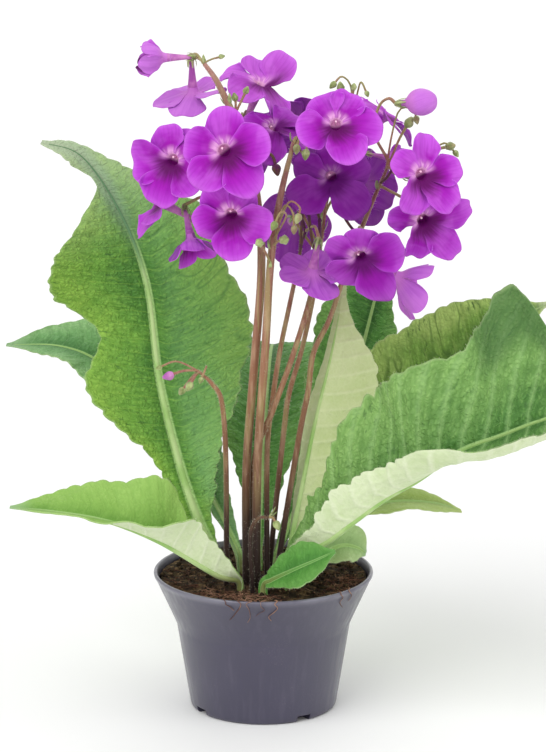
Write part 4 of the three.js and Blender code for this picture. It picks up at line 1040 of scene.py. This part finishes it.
class Blade:
    """The sheet of one leaf: a point for each place across (-1 left margin to 1 right) and along it."""

    def __init__(self, leaf):
        self.leaf = leaf
        foot = leaf["rib"][0]
        self.rib = [Vector((foot[0], foot[1], STEM_FOOT))] + [Vector(point) for point in leaf["rib"]]
        steps = 60
        places = [smooth_run(self.rib, i / steps, False) for i in range(steps + 1)]
        self.reached = [0]
        for start, end in zip(places, places[1:]):
            self.reached.append(self.reached[-1] + (end - start).length)
        self.length = self.reached[-1]
        self.stations = {}

    def distance(self, t):
        """How far along the midrib t is, in millimetres."""
        place = t * (len(self.reached) - 1)
        i = min(int(place), len(self.reached) - 2)
        return self.reached[i] + (self.reached[i + 1] - self.reached[i]) * (place - i)

    def facing(self, t):
        """Where the upper side looks at t."""
        face = [Vector(point) for point in self.leaf["face"]]
        place = t * (len(face) - 1)
        i = min(int(place), len(face) - 2)
        return face[i].lerp(face[i + 1], place - i)

    def station(self, t):
        """The midrib's place at t, the ways right and up from it, its halves and how far along it is."""
        if t not in self.stations:
            leaf = self.leaf
            point = smooth_run(self.rib, t, False)
            ahead = (smooth_run(self.rib, min(1, t + 1e-3), False)
                     - smooth_run(self.rib, max(0, t - 1e-3), False)).normalized()
            facing = self.facing(t)
            up = (facing - ahead * facing.dot(ahead)).normalized()
            folded = ease(0.09, 0.27, t)
            halves = [(max(1.2, smooth_run(leaf[side], t)),
                       math.radians(smooth_run(leaf[side + "_fold"], t)) * folded,
                       math.radians(smooth_run(leaf[side + "_curl"], t))) for side in ("left", "right")]
            self.stations[t] = point, ahead.cross(up).normalized(), up, halves, self.distance(t)
        return self.stations[t]

    def side_vein(self, s, a):
        """Counts the side veins along the leaf: a whole number on each of them."""
        spacing = self.leaf.get("veins", 9)
        bow = self.leaf.get("slant", 0.34) * abs(s) + 0.0035 * s * s
        shift = 0.45 * ease(0, 8, s) + 0.25 * noise.noise(Vector((s / 40, a / 40, self.length)))
        return (a - bow) / spacing + shift

    def point(self, across, t):
        """The sheet's place there, and its distances across and along in millimetres."""
        point, rightward, up, halves, a = self.station(t)
        half, fold, curl = halves[0] if across < 0 else halves[1]
        share = abs(across)
        full = min(1, half / 16)
        envelope = math.sin(math.pi * max(0, (t - 0.12) / 0.88)) * full
        scallop = abs(math.sin(math.pi * a / TOOTH_PITCH + (0.7 if across < 0 else 0))) ** 0.7 - 0.55
        ragged = noise.noise(Vector((a / 11, across * 2, self.length)))
        hem = self.leaf.get("hem", 1)
        fine = 2.4 * (hem - 1) * noise.noise(Vector((a / 3.6, across * 2, self.length + 2)))
        margin = ((1.5 * scallop + 1.8 * ragged) * hem + fine) * full * ease(0.12, 0.3, t) * share ** 5
        width = half * share + margin
        turned = curl * share
        if abs(turned) > 1e-4:
            out = width * (math.sin(fold + turned) - math.sin(fold)) / turned
            rise = width * (math.cos(fold) - math.cos(fold + turned)) / turned
        else:
            out = width * math.cos(fold)
            rise = width * math.sin(fold)
        phase = 0 if across < 0 else 1.9
        swing = math.sin(2 * math.pi * self.leaf["waves"] * t + phase)
        rise += self.leaf["wave"] * swing * share ** 2 * envelope
        rise += 1.5 * noise.noise(Vector((a / 14, across * 3, self.length + 5))) * share ** 2 * full
        s = math.copysign(half * share, across)
        return point + rightward * math.copysign(out, across) + up * rise, s, a

    def relief(self, across, s, a, t):
        """How far the sheet bulges between its veins."""
        beside = self.side_vein(s, a) % 1
        cushion = math.sin(math.pi * beside) ** 0.7
        row = abs(s) / 4.6 + 0.5 * (int(self.side_vein(s, a)) % 2)
        small = math.sin(math.pi * (row % 1)) ** 0.7
        bumps = noise.noise(Vector((s / 3.2, a / 3.2, self.length)))
        half = self.station(t)[3][0 if across < 0 else 1][0]
        fade = ease(1.2, 6, abs(s)) * ease(0.1, 0.3, t) * min(1, half / 24) * (1 - 0.5 * abs(across) ** 6)
        wrinkle = noise.noise(Vector((s / 13, self.side_vein(s, a) * 3.2, self.length + 9)))
        puff = self.leaf.get("puff", 1) * (self.leaf.get("calm", 1) if across > 0 else 1)
        return (0.75 * cushion + 0.3 * small + 0.35 * bumps + 0.5 * wrinkle) * fade * puff


def rib_radius(leaf, t):
    """How thick the midrib is at t: thick at the foot and thin at the tip."""
    thick = leaf.get("rib_radius", 2.3)
    return 0.35 + (thick - 0.35) * (1 - t) ** 1.25


def make_leaf(leaf, looks):
    """One leaf: a piece for its blade, and one for its midrib and the hairs on its margin."""
    blade = Blade(leaf)
    widest = max(leaf["left"] + leaf["right"])
    pitch_across, pitch_along = BLADE_PITCH
    columns = 2 * max(16, round(widest / pitch_across))
    rows = round(blade.length / pitch_along)
    bm = bmesh.new()
    blade_layer = bm.verts.layers.float_vector.new("blade")
    part_layer = bm.verts.layers.float_vector.new("part")
    places = {}

    def place(corner, u, v):
        across, t = round(u, 5), round((v + 1) / 2, 5)
        spot, s, a = blade.point(across, t)
        corner[blade_layer] = (s, a, blade.side_vein(s, a))
        corner[part_layer] = (abs(across), t, 0)
        places[corner] = (across, s, a, t)
        return spot

    sheet = add_sheet(bm, columns, rows, place)
    bm.normal_update()
    lifts = [(corner, corner.normal.copy(), blade.relief(*places[corner])) for corner in sheet]
    fringe = []
    chance = random.Random(len(sheet))
    for corner, normal, lift in lifts:
        corner.co += normal * lift
        across, _, _, t = places[corner]
        corner[part_layer] = (abs(across), t, lift)
        if abs(across) == 1 and 0.14 < t < 0.985:
            out = (blade.point(across, t)[0] - blade.point(0.95 * across, t)[0]).normalized()
            fringe += fringe_roots(corner.co - 0.4 * normal, out, normal, chance)
    piece_name = leaf["name"]
    piece = finish_piece(piece_name + "_blade", bm, [looks["upper"], looks["under"]], [piece_name])
    thicken(piece, BLADE_THICKNESS)
    rib = bmesh.new()
    run = []
    steps = 70
    rib_end = 0.98
    for i in range(steps + 1):
        t = rib_end * i / steps
        point, _, up, _, _ = blade.station(t)
        radius = rib_radius(leaf, t)
        run.append((point - up * radius * 0.55, radius))
    add_tubes(rib, [run], roundness=3)
    rib_layer = rib.verts.layers.float_vector.new("part")
    for corner in rib.verts:
        nearest = min(range(len(run)), key=lambda i: (run[i][0] - corner.co).length_squared)
        centre, radius = run[nearest]
        up = blade.station(rib_end * nearest / steps)[2]
        corner[rib_layer] = (nearest / steps, (corner.co - centre).dot(up) / radius, 0)
    add_hairs(rib, fringe, 1)
    finish_piece(piece_name + "_rib", rib, [looks["rib"], looks["hair"]], [])


def fringe_roots(spot, out, up, chance):
    """Roots for two fine hairs on a leaf's margin."""
    roots = []
    for _ in range(2):
        aside = out.cross(up).normalized() * chance.uniform(-0.6, 0.6)
        lean = (out + up * chance.uniform(-0.7, 0.5) + aside * 0.9).normalized()
        roots.append((spot - 0.25 * out + aside, lean, chance.uniform(0.8, 1.7), FRINGE_RADIUS))
    return roots


# The greens of a leaf's upper side, from its midrib to its margin, and what else leaf_upper is told: flecks,
# creases and bands set how much shade and light is painted in its wrinkles, folds and grooves.
GREENS = dict(
    deep=((70, 126, 50), (98, 160, 70), (126, 178, 88), dict(flecks=0.7)),
    fresh=((92, 144, 66), (126, 172, 90), (150, 194, 108), dict(flecks=0.6, groove_shading=0.26)),
    lime=((118, 166, 68), (144, 188, 88), (162, 202, 104), dict(pucker=0.35)),
    mottled=((76, 118, 40), (124, 166, 70), (182, 210, 116),
             dict(pucker=0.7, tip=(200, 212, 170), flecks=0.8, fold_shade=-0.85)),
    olive=((144, 168, 84), (170, 194, 104), (186, 206, 124), dict(pucker=0.3, tip=(182, 200, 118))),
    grey=((142, 174, 112), (172, 202, 138), (188, 212, 152), dict(pucker=0.35)),
    cool=((94, 146, 84), (124, 174, 108), (146, 190, 126), dict(pucker=0.7)),
    bright=((70, 134, 50), (90, 154, 62), (112, 170, 80),
            dict(pucker=0.5, rib_share=0.7, tip=(104, 160, 80))),
    tall=((86, 142, 56), (120, 174, 68), (150, 196, 78),
          dict(rib_reach=0.79, rib_share=1.6, tip=(200, 214, 180), flecks=0.75, fold_shade=0.8)),
)


def make_leaves(hair):
    """All the leaves, in their greens."""
    under = dict(downy=leaf_under("leaf_under", (198, 214, 166), (156, 186, 118)),
                 white=leaf_under("leaf_under_white", (222, 232, 196), (192, 213, 154)),
                 thin=leaf_under("leaf_under_thin", (208, 218, 168), (184, 202, 136)))
    # midrib_tall turns above 0.76 to the grey-green of the painted shade in its leaf's gutter.
    ribs = dict(tall=midrib_look("midrib_tall", colour(92, 132, 90), 0.76),
                bright=midrib_look("midrib_bright", colour(96, 152, 70), 0.22))
    rib = midrib_look("midrib", colour(150, 184, 106))
    upper = {green: leaf_upper(f"leaf_{green}", deep, mid, edge, **more)
             for green, (deep, mid, edge, more) in GREENS.items()}
    for leaf in LEAVES:
        green = leaf.get("green", "deep")
        make_leaf(leaf, dict(upper=upper[green], under=under[leaf.get("down", "downy")],
                             rib=ribs.get(green, rib), hair=hair))


# ---- Flower stems --------------------------------------------------------------------------------

STEM_SKIN, STALK_SKIN, CALYX_SKIN, SPENT_SKIN, HAIR, VIOLET = range(6)      # the looks of a stem, in order

def bloom_place(bloom):
    """Turns a bloom's own millimetres, with +Z out of its throat and +Y up, into its place."""
    ahead = Vector(bloom["facing"]).normalized()
    sideways = Vector((-ahead.y, ahead.x, 0)).normalized()
    turned = Matrix((sideways, ahead.cross(sideways), ahead)).transposed().to_4x4()
    return (Matrix.Translation(bloom["at"]) @ turned @ Matrix.Rotation(math.radians(bloom["roll"]), 4, "Z")
            @ Matrix.Scale(bloom["size"], 4))


def bent_run(points, radii, steps):
    """A run for add_tubes on a smooth curve through points, its radius going through radii."""
    return [(smooth_run(points, i / steps, False), smooth_run(radii, i / steps)) for i in range(steps + 1)]


def add_sepals(bm, place, chance, look):
    """Five narrow, closed sepals round the back of a bloom's tube, their tips held off it."""
    for k in range(5):
        turn = math.radians(72 * k + 20 + chance.uniform(-9, 9))
        lift = chance.uniform(0.3, 1.3)
        length = CALYX_LENGTH + chance.uniform(3.2, 5)
        sepal = bmesh.ops.create_uvsphere(bm, u_segments=8, v_segments=9, radius=1)["verts"]
        for corner in sepal:
            ahead = (corner.co.z + 1) / 2
            across = corner.co.x * 0.95 * (1.15 - 0.5 * ahead)
            out = (1.2 + 1.5 * math.sin(math.pi * min(1, ahead * 0.75)) + lift * ahead * ahead
                   + 0.26 * corner.co.y)
            angle = turn + across / out
            corner.co = place @ Vector((out * math.cos(angle), out * math.sin(angle),
                                        -TUBE_LENGTH - CALYX_LENGTH + ahead * length))
        paint(sepal, look)


def paint(corners, look):
    """Gives every face at these corners a look."""
    for corner in corners:
        for face in corner.link_faces:
            face.material_index = look


def set_growing(bm, corners, base, direction, look):
    """Moves a part made along +Z to where it grows, pointing in its direction, and gives it a look."""
    turned = direction.to_track_quat("Z", "Y").to_matrix().to_4x4()
    bmesh.ops.transform(bm, matrix=Matrix.Translation(base) @ turned, verts=corners)
    paint(corners, look)


def add_bud(bm, tip, direction, radius, look):
    """A small bud, its five sepals closed over it as soft ridges that end in a point."""
    bud = bmesh.ops.create_uvsphere(bm, u_segments=20, v_segments=12, radius=1)["verts"]
    for corner in bud:
        turn = math.atan2(corner.co.y, corner.co.x)
        ridge = 1 + 0.14 * math.cos(5 * turn) * (1 - 0.5 * corner.co.z)
        point_end = 1 - 0.4 * max(0, corner.co.z)
        corner.co.x *= radius * ridge * point_end
        corner.co.y *= radius * ridge * point_end
        corner.co.z *= radius * (1.6 if corner.co.z > 0 else 1.3)
    set_growing(bm, bud, tip, direction, look)


def add_bract(bm, base, direction, length, look):
    """A small pointed leaf where a stalk leaves its stem."""
    bract = bmesh.ops.create_uvsphere(bm, u_segments=8, v_segments=8, radius=1)["verts"]
    for corner in bract:
        ahead = (corner.co.z + 1) / 2
        across = corner.co.x * length * 0.2 * (1.2 - 0.6 * ahead)
        corner.co = Vector((across, 0.2 * corner.co.y + length * 0.3 * ahead * ahead, length * ahead))
    set_growing(bm, bract, base, direction, look)


def add_hairs(bm, roots, look):
    """Fine hairs: each root is (point, direction, length, thickness)."""
    for point, direction, length, thick in roots:
        side = direction.orthogonal().normalized() * thick
        other = direction.cross(side).normalized() * thick
        foot = [bm.verts.new(point + side), bm.verts.new(point - side * 0.5 + other * 0.87),
                bm.verts.new(point - side * 0.5 - other * 0.87)]
        tip = bm.verts.new(point + direction * length)
        faces = [(foot[0], foot[1], tip), (foot[1], foot[2], tip), (foot[2], foot[0], tip),
                 (foot[2], foot[1], foot[0])]
        for corners in faces:
            bm.faces.new(corners).material_index = look


def hair_roots(run, count, length, chance):
    """Roots for hairs all round a tube, which stand off it."""
    roots = []
    for _ in range(count):
        place = chance.uniform(0, len(run) - 1.001)
        i = int(place)
        (start, radius), (end, _) = run[i], run[i + 1]
        along = (end - start).normalized()
        side = along.orthogonal().normalized()
        out = Matrix.Rotation(chance.uniform(0, 2 * math.pi), 3, along) @ side
        lean = (out + along * chance.uniform(-0.2, 0.4)).normalized()
        root = start.lerp(end, place - i) + out * radius * 0.9
        roots.append((root, lean, length * chance.uniform(0.6, 1.3), HAIR_RADIUS))
    return roots


def at_fork(points, fork):
    """The place of a fork on its stem, and the way that the stem is heading there."""
    spot = smooth_run(points, fork, False)
    return spot, (spot - smooth_run(points, fork - 0.03, False)).normalized()


def leaving(points, fork, spots, radii, steps=16):
    """A stalk's run: it leaves the stem at a slant and goes smoothly through spots."""
    start, ahead = at_fork(points, fork)
    slant = ahead * min(2.5, 0.2 * (spots[0] - start).length)
    return bent_run([start, start.lerp(spots[0], 0.12) + slant, *spots], radii, steps)


def make_stem(stem, number, looks):
    """One flower stem with its stalks, calyces, buds, bracts and hairs."""
    chance = random.Random(700 + number)
    foot = stem["path"][0]
    points = [Vector((foot[0], foot[1], STEM_FOOT))] + [Vector(point) for point in stem["path"]]
    radius = stem["radius"]
    bm = bmesh.new()
    radii = [radius, radius, 0.96 * radius, 0.88 * radius, 0.78 * radius, 0.5 * radius]
    main = bent_run(points, radii, 12 * len(points))
    stalks = []
    spent = []
    forks = set()
    for bud in stem["buds"]:
        start, end = smooth_run(points, bud["fork"], False), Vector(bud["at"])
        middle = start.lerp(end, 0.55) + Vector((0, 0, 2))
        stalks.append(leaving(points, bud["fork"], [middle, end], [0.85, 0.7, 0.7, 0.85]))
        add_bud(bm, end, end - middle, bud["radius"], VIOLET if bud.get("violet") else CALYX_SKIN)
        forks.add(bud["fork"])
    for growth, runs, radii, look in ((YOUNG_BUDS, stalks, [0.7, 0.55, 0.5, 0.6], CALYX_SKIN),
                                      (SPENT_STALKS, spent, [0.95, 0.8, 0.8, 0.9], SPENT_SKIN)):
        for bud in growth.get(number, []):
            spots = [Vector(spot) for spot in bud["by"]]
            run = leaving(points, bud["fork"], spots, radii)
            runs.append(run)
            add_bud(bm, spots[-1], run[-1][0] - run[-3][0], bud["radius"], look)
    for bloom in BLOOMS:
        if bloom["stem"] != number:
            continue
        place = bloom_place(bloom)
        start = smooth_run(points, bloom["fork"], False)
        back = place @ Vector((0, 0, -TUBE_LENGTH))
        behind = place.to_3x3() @ Vector((0, 0, -1))
        reach = (back - start).length
        middle = [start.lerp(back, 0.6) + behind * 0.3 * reach]
        if "stalk" in bloom:
            middle = [Vector(spot) for spot in bloom["stalk"]]
        stalks.append(leaving(points, bloom["fork"], [*middle, back + behind * (CALYX_LENGTH - 1)],
                              [1.0, 0.8, 0.75, 0.95], 22))
        forks.add(bloom["fork"])
        cup = bmesh.ops.create_cone(bm, cap_ends=True, segments=20, radius1=0.9, radius2=1.7,
                                    depth=CALYX_LENGTH)["verts"]
        seat = Matrix.Translation((0, 0, -TUBE_LENGTH - CALYX_LENGTH / 2))
        bmesh.ops.transform(bm, matrix=place @ seat, verts=cup)
        paint(cup, CALYX_SKIN)
        add_sepals(bm, place, chance, CALYX_SKIN)
        ring = [(place @ Vector((0, 0, h)), 2.6) for h in (-TUBE_LENGTH - CALYX_LENGTH, -TUBE_LENGTH + 3)]
        add_hairs(bm, hair_roots(ring, 26, 0.9, chance), HAIR)
    for fork in sorted(forks):
        at, ahead = at_fork(points, fork)
        for turn in (chance.uniform(0, 3), chance.uniform(3, 6)):
            out = Matrix.Rotation(turn, 3, ahead) @ ahead.orthogonal().normalized()
            add_bract(bm, at + out * 0.5 * radius, ahead * 0.7 + out * 0.5, chance.uniform(4, 6.5),
                      CALYX_SKIN)
    add_tubes(bm, [main], look=STEM_SKIN, roundness=3)
    add_tubes(bm, stalks, look=STALK_SKIN)
    if spent:
        add_tubes(bm, spent, look=SPENT_SKIN, roundness=1)
    add_hairs(bm, hair_roots(main[8:], round(2.6 * (main[-1][0] - main[0][0]).length), 1.3, chance), HAIR)
    for run in stalks:
        add_hairs(bm, hair_roots(run, 26, 1.0, chance), HAIR)
    finish_piece(f"stem_{number}", bm, looks, [f"flower_stem_{number}"])


# ---- Blooms --------------------------------------------------------------------------------------

TUBE_SKIN, THROAT_SKIN, PISTIL_SKIN = 2, 3, 4       # the looks of a bloom after its lobes' face and back

def lobe_spot(lobe, bend, closing, u, v):
    """A point of one lobe, u from -1 to 1 across it and v from 0 in the throat to 1 at its margin."""
    arc = u * math.pi / 2
    length = lobe["reach"] * bend["reach"] - FLARE_RADIUS
    half = lobe["half"] * bend["width"] * (1 - 0.3 * closing)
    share = math.sin(arc)
    reaches = smooth_run([1.6, 3.7, 0.66 * half, 0.9 * half, 0.99 * half, half], v)
    width = reaches * share
    past = max(0, v - THROAT_SHARE) / (1 - THROAT_SHARE)
    start = math.radians(lobe["rise"] + (66 - lobe["rise"]) * closing + bend["rise"])
    end = math.radians(lobe["end"] + (128 - lobe["end"]) * closing + bend["end"])
    if abs(end - start) < 0.01:
        end = start + 0.01
    slope = start + (end - start) * past
    round_off = (0.58 * (1 - math.cos(arc)) * v * v
                 + 0.05 * v ** 4 * math.exp(-(u / 0.25) ** 2) * bend["notch"])
    out = FLARE_RADIUS + length * (math.sin(slope) - math.sin(start)) / (end - start)
    height = length * (math.cos(start) - math.cos(slope)) / (end - start)
    out -= length * round_off * math.cos(slope)
    height -= length * round_off * math.sin(slope)
    if v < THROAT_SHARE:
        up = v / THROAT_SHARE
        out = smooth_run([2.4, 2.7, 3.3, FLARE_RADIUS], up)
        height = smooth_run([-7, -4.2, -1.6, 0], up)
        slope = start + (math.radians(80) - start) * (1 - up)
    spread = ease(0.15, 0.55, v)
    bulge = bend["cup"] * share * share + bend["twist"] * share + lobe["layer"]
    bulge += -0.8 * math.exp(-(u / 0.2) ** 2) * (1 - 0.6 * v)
    bulge = bulge * spread + v * v * (bend["ruffle"] * math.sin(2.7 * arc + bend["phase"])
                                      + 0.4 * math.sin(6.3 * arc + 2 * bend["phase"] + 3 * v))
    bulge += bend["wave"] * math.sin(2.6 * v + bend["phase"]) * spread
    out -= bulge * math.sin(slope)
    height += bulge * math.cos(slope)
    turn = math.radians(lobe["turn"] + bend["turn"] * spread)
    outward = Vector((math.cos(turn), math.sin(turn), 0))
    sideways = Vector((math.sin(turn), -math.cos(turn), 0))
    wrap = share * min(reaches / max(out, 1), math.radians(38.5))
    round_ = (outward * math.cos(wrap) + sideways * math.sin(wrap)) * out
    flat = outward * out + sideways * width
    curved = max(min(1, 1.4 * closing), 1 - ease(0.1, 0.3, v))
    return flat.lerp(round_, curved) + Vector((0, 0, height))


def add_turned(bm, profile, steps, look, place, inside=False):
    """Adds a turned wall to bm, its faces outward or, for a throat, inward."""
    part = bmesh.new()
    spin_profile(part, profile, steps)
    for face in part.faces:
        face.material_index = look
    if inside:
        bmesh.ops.reverse_faces(part, faces=part.faces)
    bmesh.ops.transform(part, matrix=place, verts=part.verts)
    mesh = mesh_from(part, "turned")
    bm.from_mesh(mesh)
    bpy.data.meshes.remove(mesh)


def add_bloom_tube(bm, place):
    """The slender tube behind the lobes, the pale floor of its throat and the style that stands in it."""
    outside = [(0, -TUBE_LENGTH), (1.5, -TUBE_LENGTH), (1.6, -20), (1.8, -17), (2.2, -13), (2.5, -10),
               (2.75, -8), (2.95, -6.2), (3.25, -4.4)]
    inside = [(2.75, -3.9), (2.4, -4.6), (1.4, -5.2), (0, -5.4)]
    add_turned(bm, outside, 36, TUBE_SKIN, place)
    add_turned(bm, inside, 36, THROAT_SKIN, place, inside=True)
    thick = place.to_scale()[0]
    style = [((0.1, 0.9, -6), 0.35), ((0.1, 1.2, -4.2), 0.38), ((0, 1.6, -2.4), 0.42), ((0, 1.8, -0.9), 0.62)]
    run = [(place @ Vector(spot), thick * size) for spot, size in style]
    add_tubes(bm, [run], look=PISTIL_SKIN)


def make_bloom(bloom, number, looks):
    """An open or half-open bloom: one piece for its lobes and one for its tube."""
    chance = random.Random(100 + number)
    closing = 1 - bloom.get("open", 1)
    place = bloom_place(bloom)
    bm = bmesh.new()
    lobe_layer = bm.verts.layers.float_vector.new("lobe")
    face_layer = bm.verts.layers.float_vector.new("face")
    for k, lobe in enumerate(LOBES):
        bend = dict(reach=chance.uniform(0.92, 1.04), width=chance.uniform(0.88, 1.05),
                    turn=chance.uniform(-6, 6), rise=chance.uniform(-7, 7),
                    end=chance.uniform(-22, 16) * (1 - closing), cup=chance.uniform(-2.6, 2.2),
                    twist=chance.uniform(0.5, 1.7), wave=chance.uniform(0.2, 0.9),
                    ruffle=chance.uniform(0.4, 1.3), phase=chance.uniform(0, 6.3),
                    notch=chance.uniform(0, 1.3))
        bend.update(bloom.get("bends", {}).get(k, {}))

        def spot(corner, u, v):
            v = (v + 1) / 2
            point = lobe_spot(lobe, bend, closing, u, v)
            # The third numbers carry how much light (pale) and shade (tone) is painted on the bloom.
            corner[lobe_layer] = (u, v, bloom.get("pale", 0))
            corner[face_layer] = (point.x, point.y, bend.get("painted_shade", bloom.get("painted_shade", 0)))
            return place @ point

        add_sheet(bm, *LOBE_NET, spot)
    name = f"bloom_{number:02d}"
    petals = finish_piece(f"{name}_lobes", bm, looks[:2], [name])
    thicken(petals, LOBE_THICKNESS)
    rest = bmesh.new()
    add_bloom_tube(rest, place)
    own_layer = rest.verts.layers.float_vector.new("face")
    own = place.inverted()
    for corner in rest.verts:
        corner[own_layer] = own @ corner.co
    finish_piece(f"{name}_tube", rest, looks, [])


def make_ball_bud(bloom, number, looks):
    """A bloom about to open: the slender tube and its lobes folded into a ball."""
    profile = [(0, -TUBE_LENGTH), (1.6, -TUBE_LENGTH), (1.8, -21), (2.4, -19.5), (3.8, -18.2), (5.4, -17),
               (7.1, -15), (8.2, -12.5), (8.6, -9.6), (8.1, -6.6), (6.7, -3.4), (4.4, -0.8), (2.2, 0.1),
               (0, 0.4)]
    steps = 40
    smooth = [smooth_run([Vector((r, h)) for r, h in profile], i / steps) for i in range(steps + 1)]
    bm = bmesh.new()
    lobe_layer = bm.verts.layers.float_vector.new("lobe")
    spin_profile(bm, [(max(0, point.x), point.y) for point in smooth], 60)
    for corner in bm.verts:
        turn = math.atan2(corner.co.y, corner.co.x)
        swirl = turn + 0.05 * corner.co.z
        crease = abs(math.sin(2.5 * swirl)) ** 0.4
        fold = 1 - 0.10 * (1 - crease) * ease(-18, -11, corner.co.z)
        corner.co.x *= fold
        corner.co.y *= fold
        # 0.6 in the third place is painted light, paler and pinker, as on the lit blooms.
        corner[lobe_layer] = (math.sin(2.5 * swirl), ease(-20, 0, corner.co.z), 0.6)
    bmesh.ops.transform(bm, matrix=bloom_place(bloom), verts=bm.verts)
    finish_piece(f"bloom_{number:02d}_bud", bm, [looks[1]], [f"bloom_{number:02d}"])


def make_blooms():
    """All the blooms, and the one that is about to open."""
    looks = [petal_front(), petal_back(), bloom_tube_look(), throat_look(), pistil_look()]
    for number, bloom in enumerate(BLOOMS, 1):
        if bloom.get("open") == 0:
            make_ball_bud(bloom, number, looks)
        else:
            make_bloom(bloom, number, looks)


# ---- Stage ---------------------------------------------------------------------------------------

FLOOR_RADIUS = 14               # metres
SKY_STRENGTH = 0.62
# name, where it shines from, how wide it looks from the floor (degrees) and its power
LAMPS = [("key", (-0.55, -0.75, 0.95), 50, 1.44), ("fill", (0.95, -0.6, 0.45), 60, 0.58),
         ("back", (0.2, 1, 0.9), 60, 0.6)]
CAMERA_PLACE = (0, -1.9126, 0.6607)     # metres
CAMERA_PITCH = 13.965                   # degrees down
CAMERA_YAW = -0.157
CAMERA_LENS = 174.73


def make_stage():
    """A wide pale floor under soft studio light."""
    bm = bmesh.new()
    bmesh.ops.create_circle(bm, cap_ends=True, segments=96, radius=FLOOR_RADIUS)
    floor = placed("floor", mesh_from(bm, "floor"))
    look = Look("floor", roughness=0.9, specular=0.1)
    floor.data.materials.append(look.done(colour(250, 250, 250)))
    world = bpy.data.worlds.new("studio")
    world.use_nodes = True
    backdrop = world.node_tree.nodes["Background"]
    backdrop.inputs["Color"].default_value = (1, 1, 1, 1)
    backdrop.inputs["Strength"].default_value = SKY_STRENGTH
    bpy.context.scene.world = world
    bpy.context.scene.view_settings.view_transform = "Standard"
    for name, aim, softness, power in LAMPS:
        light = bpy.data.lights.new(name, "SUN")
        light.angle = math.radians(softness)
        light.energy = power
        lamp = placed(name, light)
        lamp.location = Vector(aim) * 2
        lamp.rotation_euler = (-Vector(aim)).to_track_quat("-Z", "Y").to_euler()


def make_camera():
    """A camera with a long lens, in front of the plant and looking down on it."""
    camera = bpy.data.cameras.new("camera")
    camera.sensor_fit = "VERTICAL"
    camera.sensor_height = 36
    camera.lens = CAMERA_LENS
    camera.clip_end = 60
    holder = placed("camera", camera)
    holder.location = CAMERA_PLACE
    holder.rotation_euler = (math.radians(90 - CAMERA_PITCH), 0, math.radians(CAMERA_YAW))
    bpy.context.scene.camera = holder


# ---- The whole plant -----------------------------------------------------------------------------

make_camera()
make_stage()
make_pot()
make_compost()
make_fibres()
hair = hair_look()
make_leaves(hair)
stem_looks = [stem_look(), stalk_look(), calyx_look(), spent_look(), hair, bloom_tube_look()]
for number, stem in enumerate(STEMS, 1):
    make_stem(stem, number, stem_looks)
make_blooms()
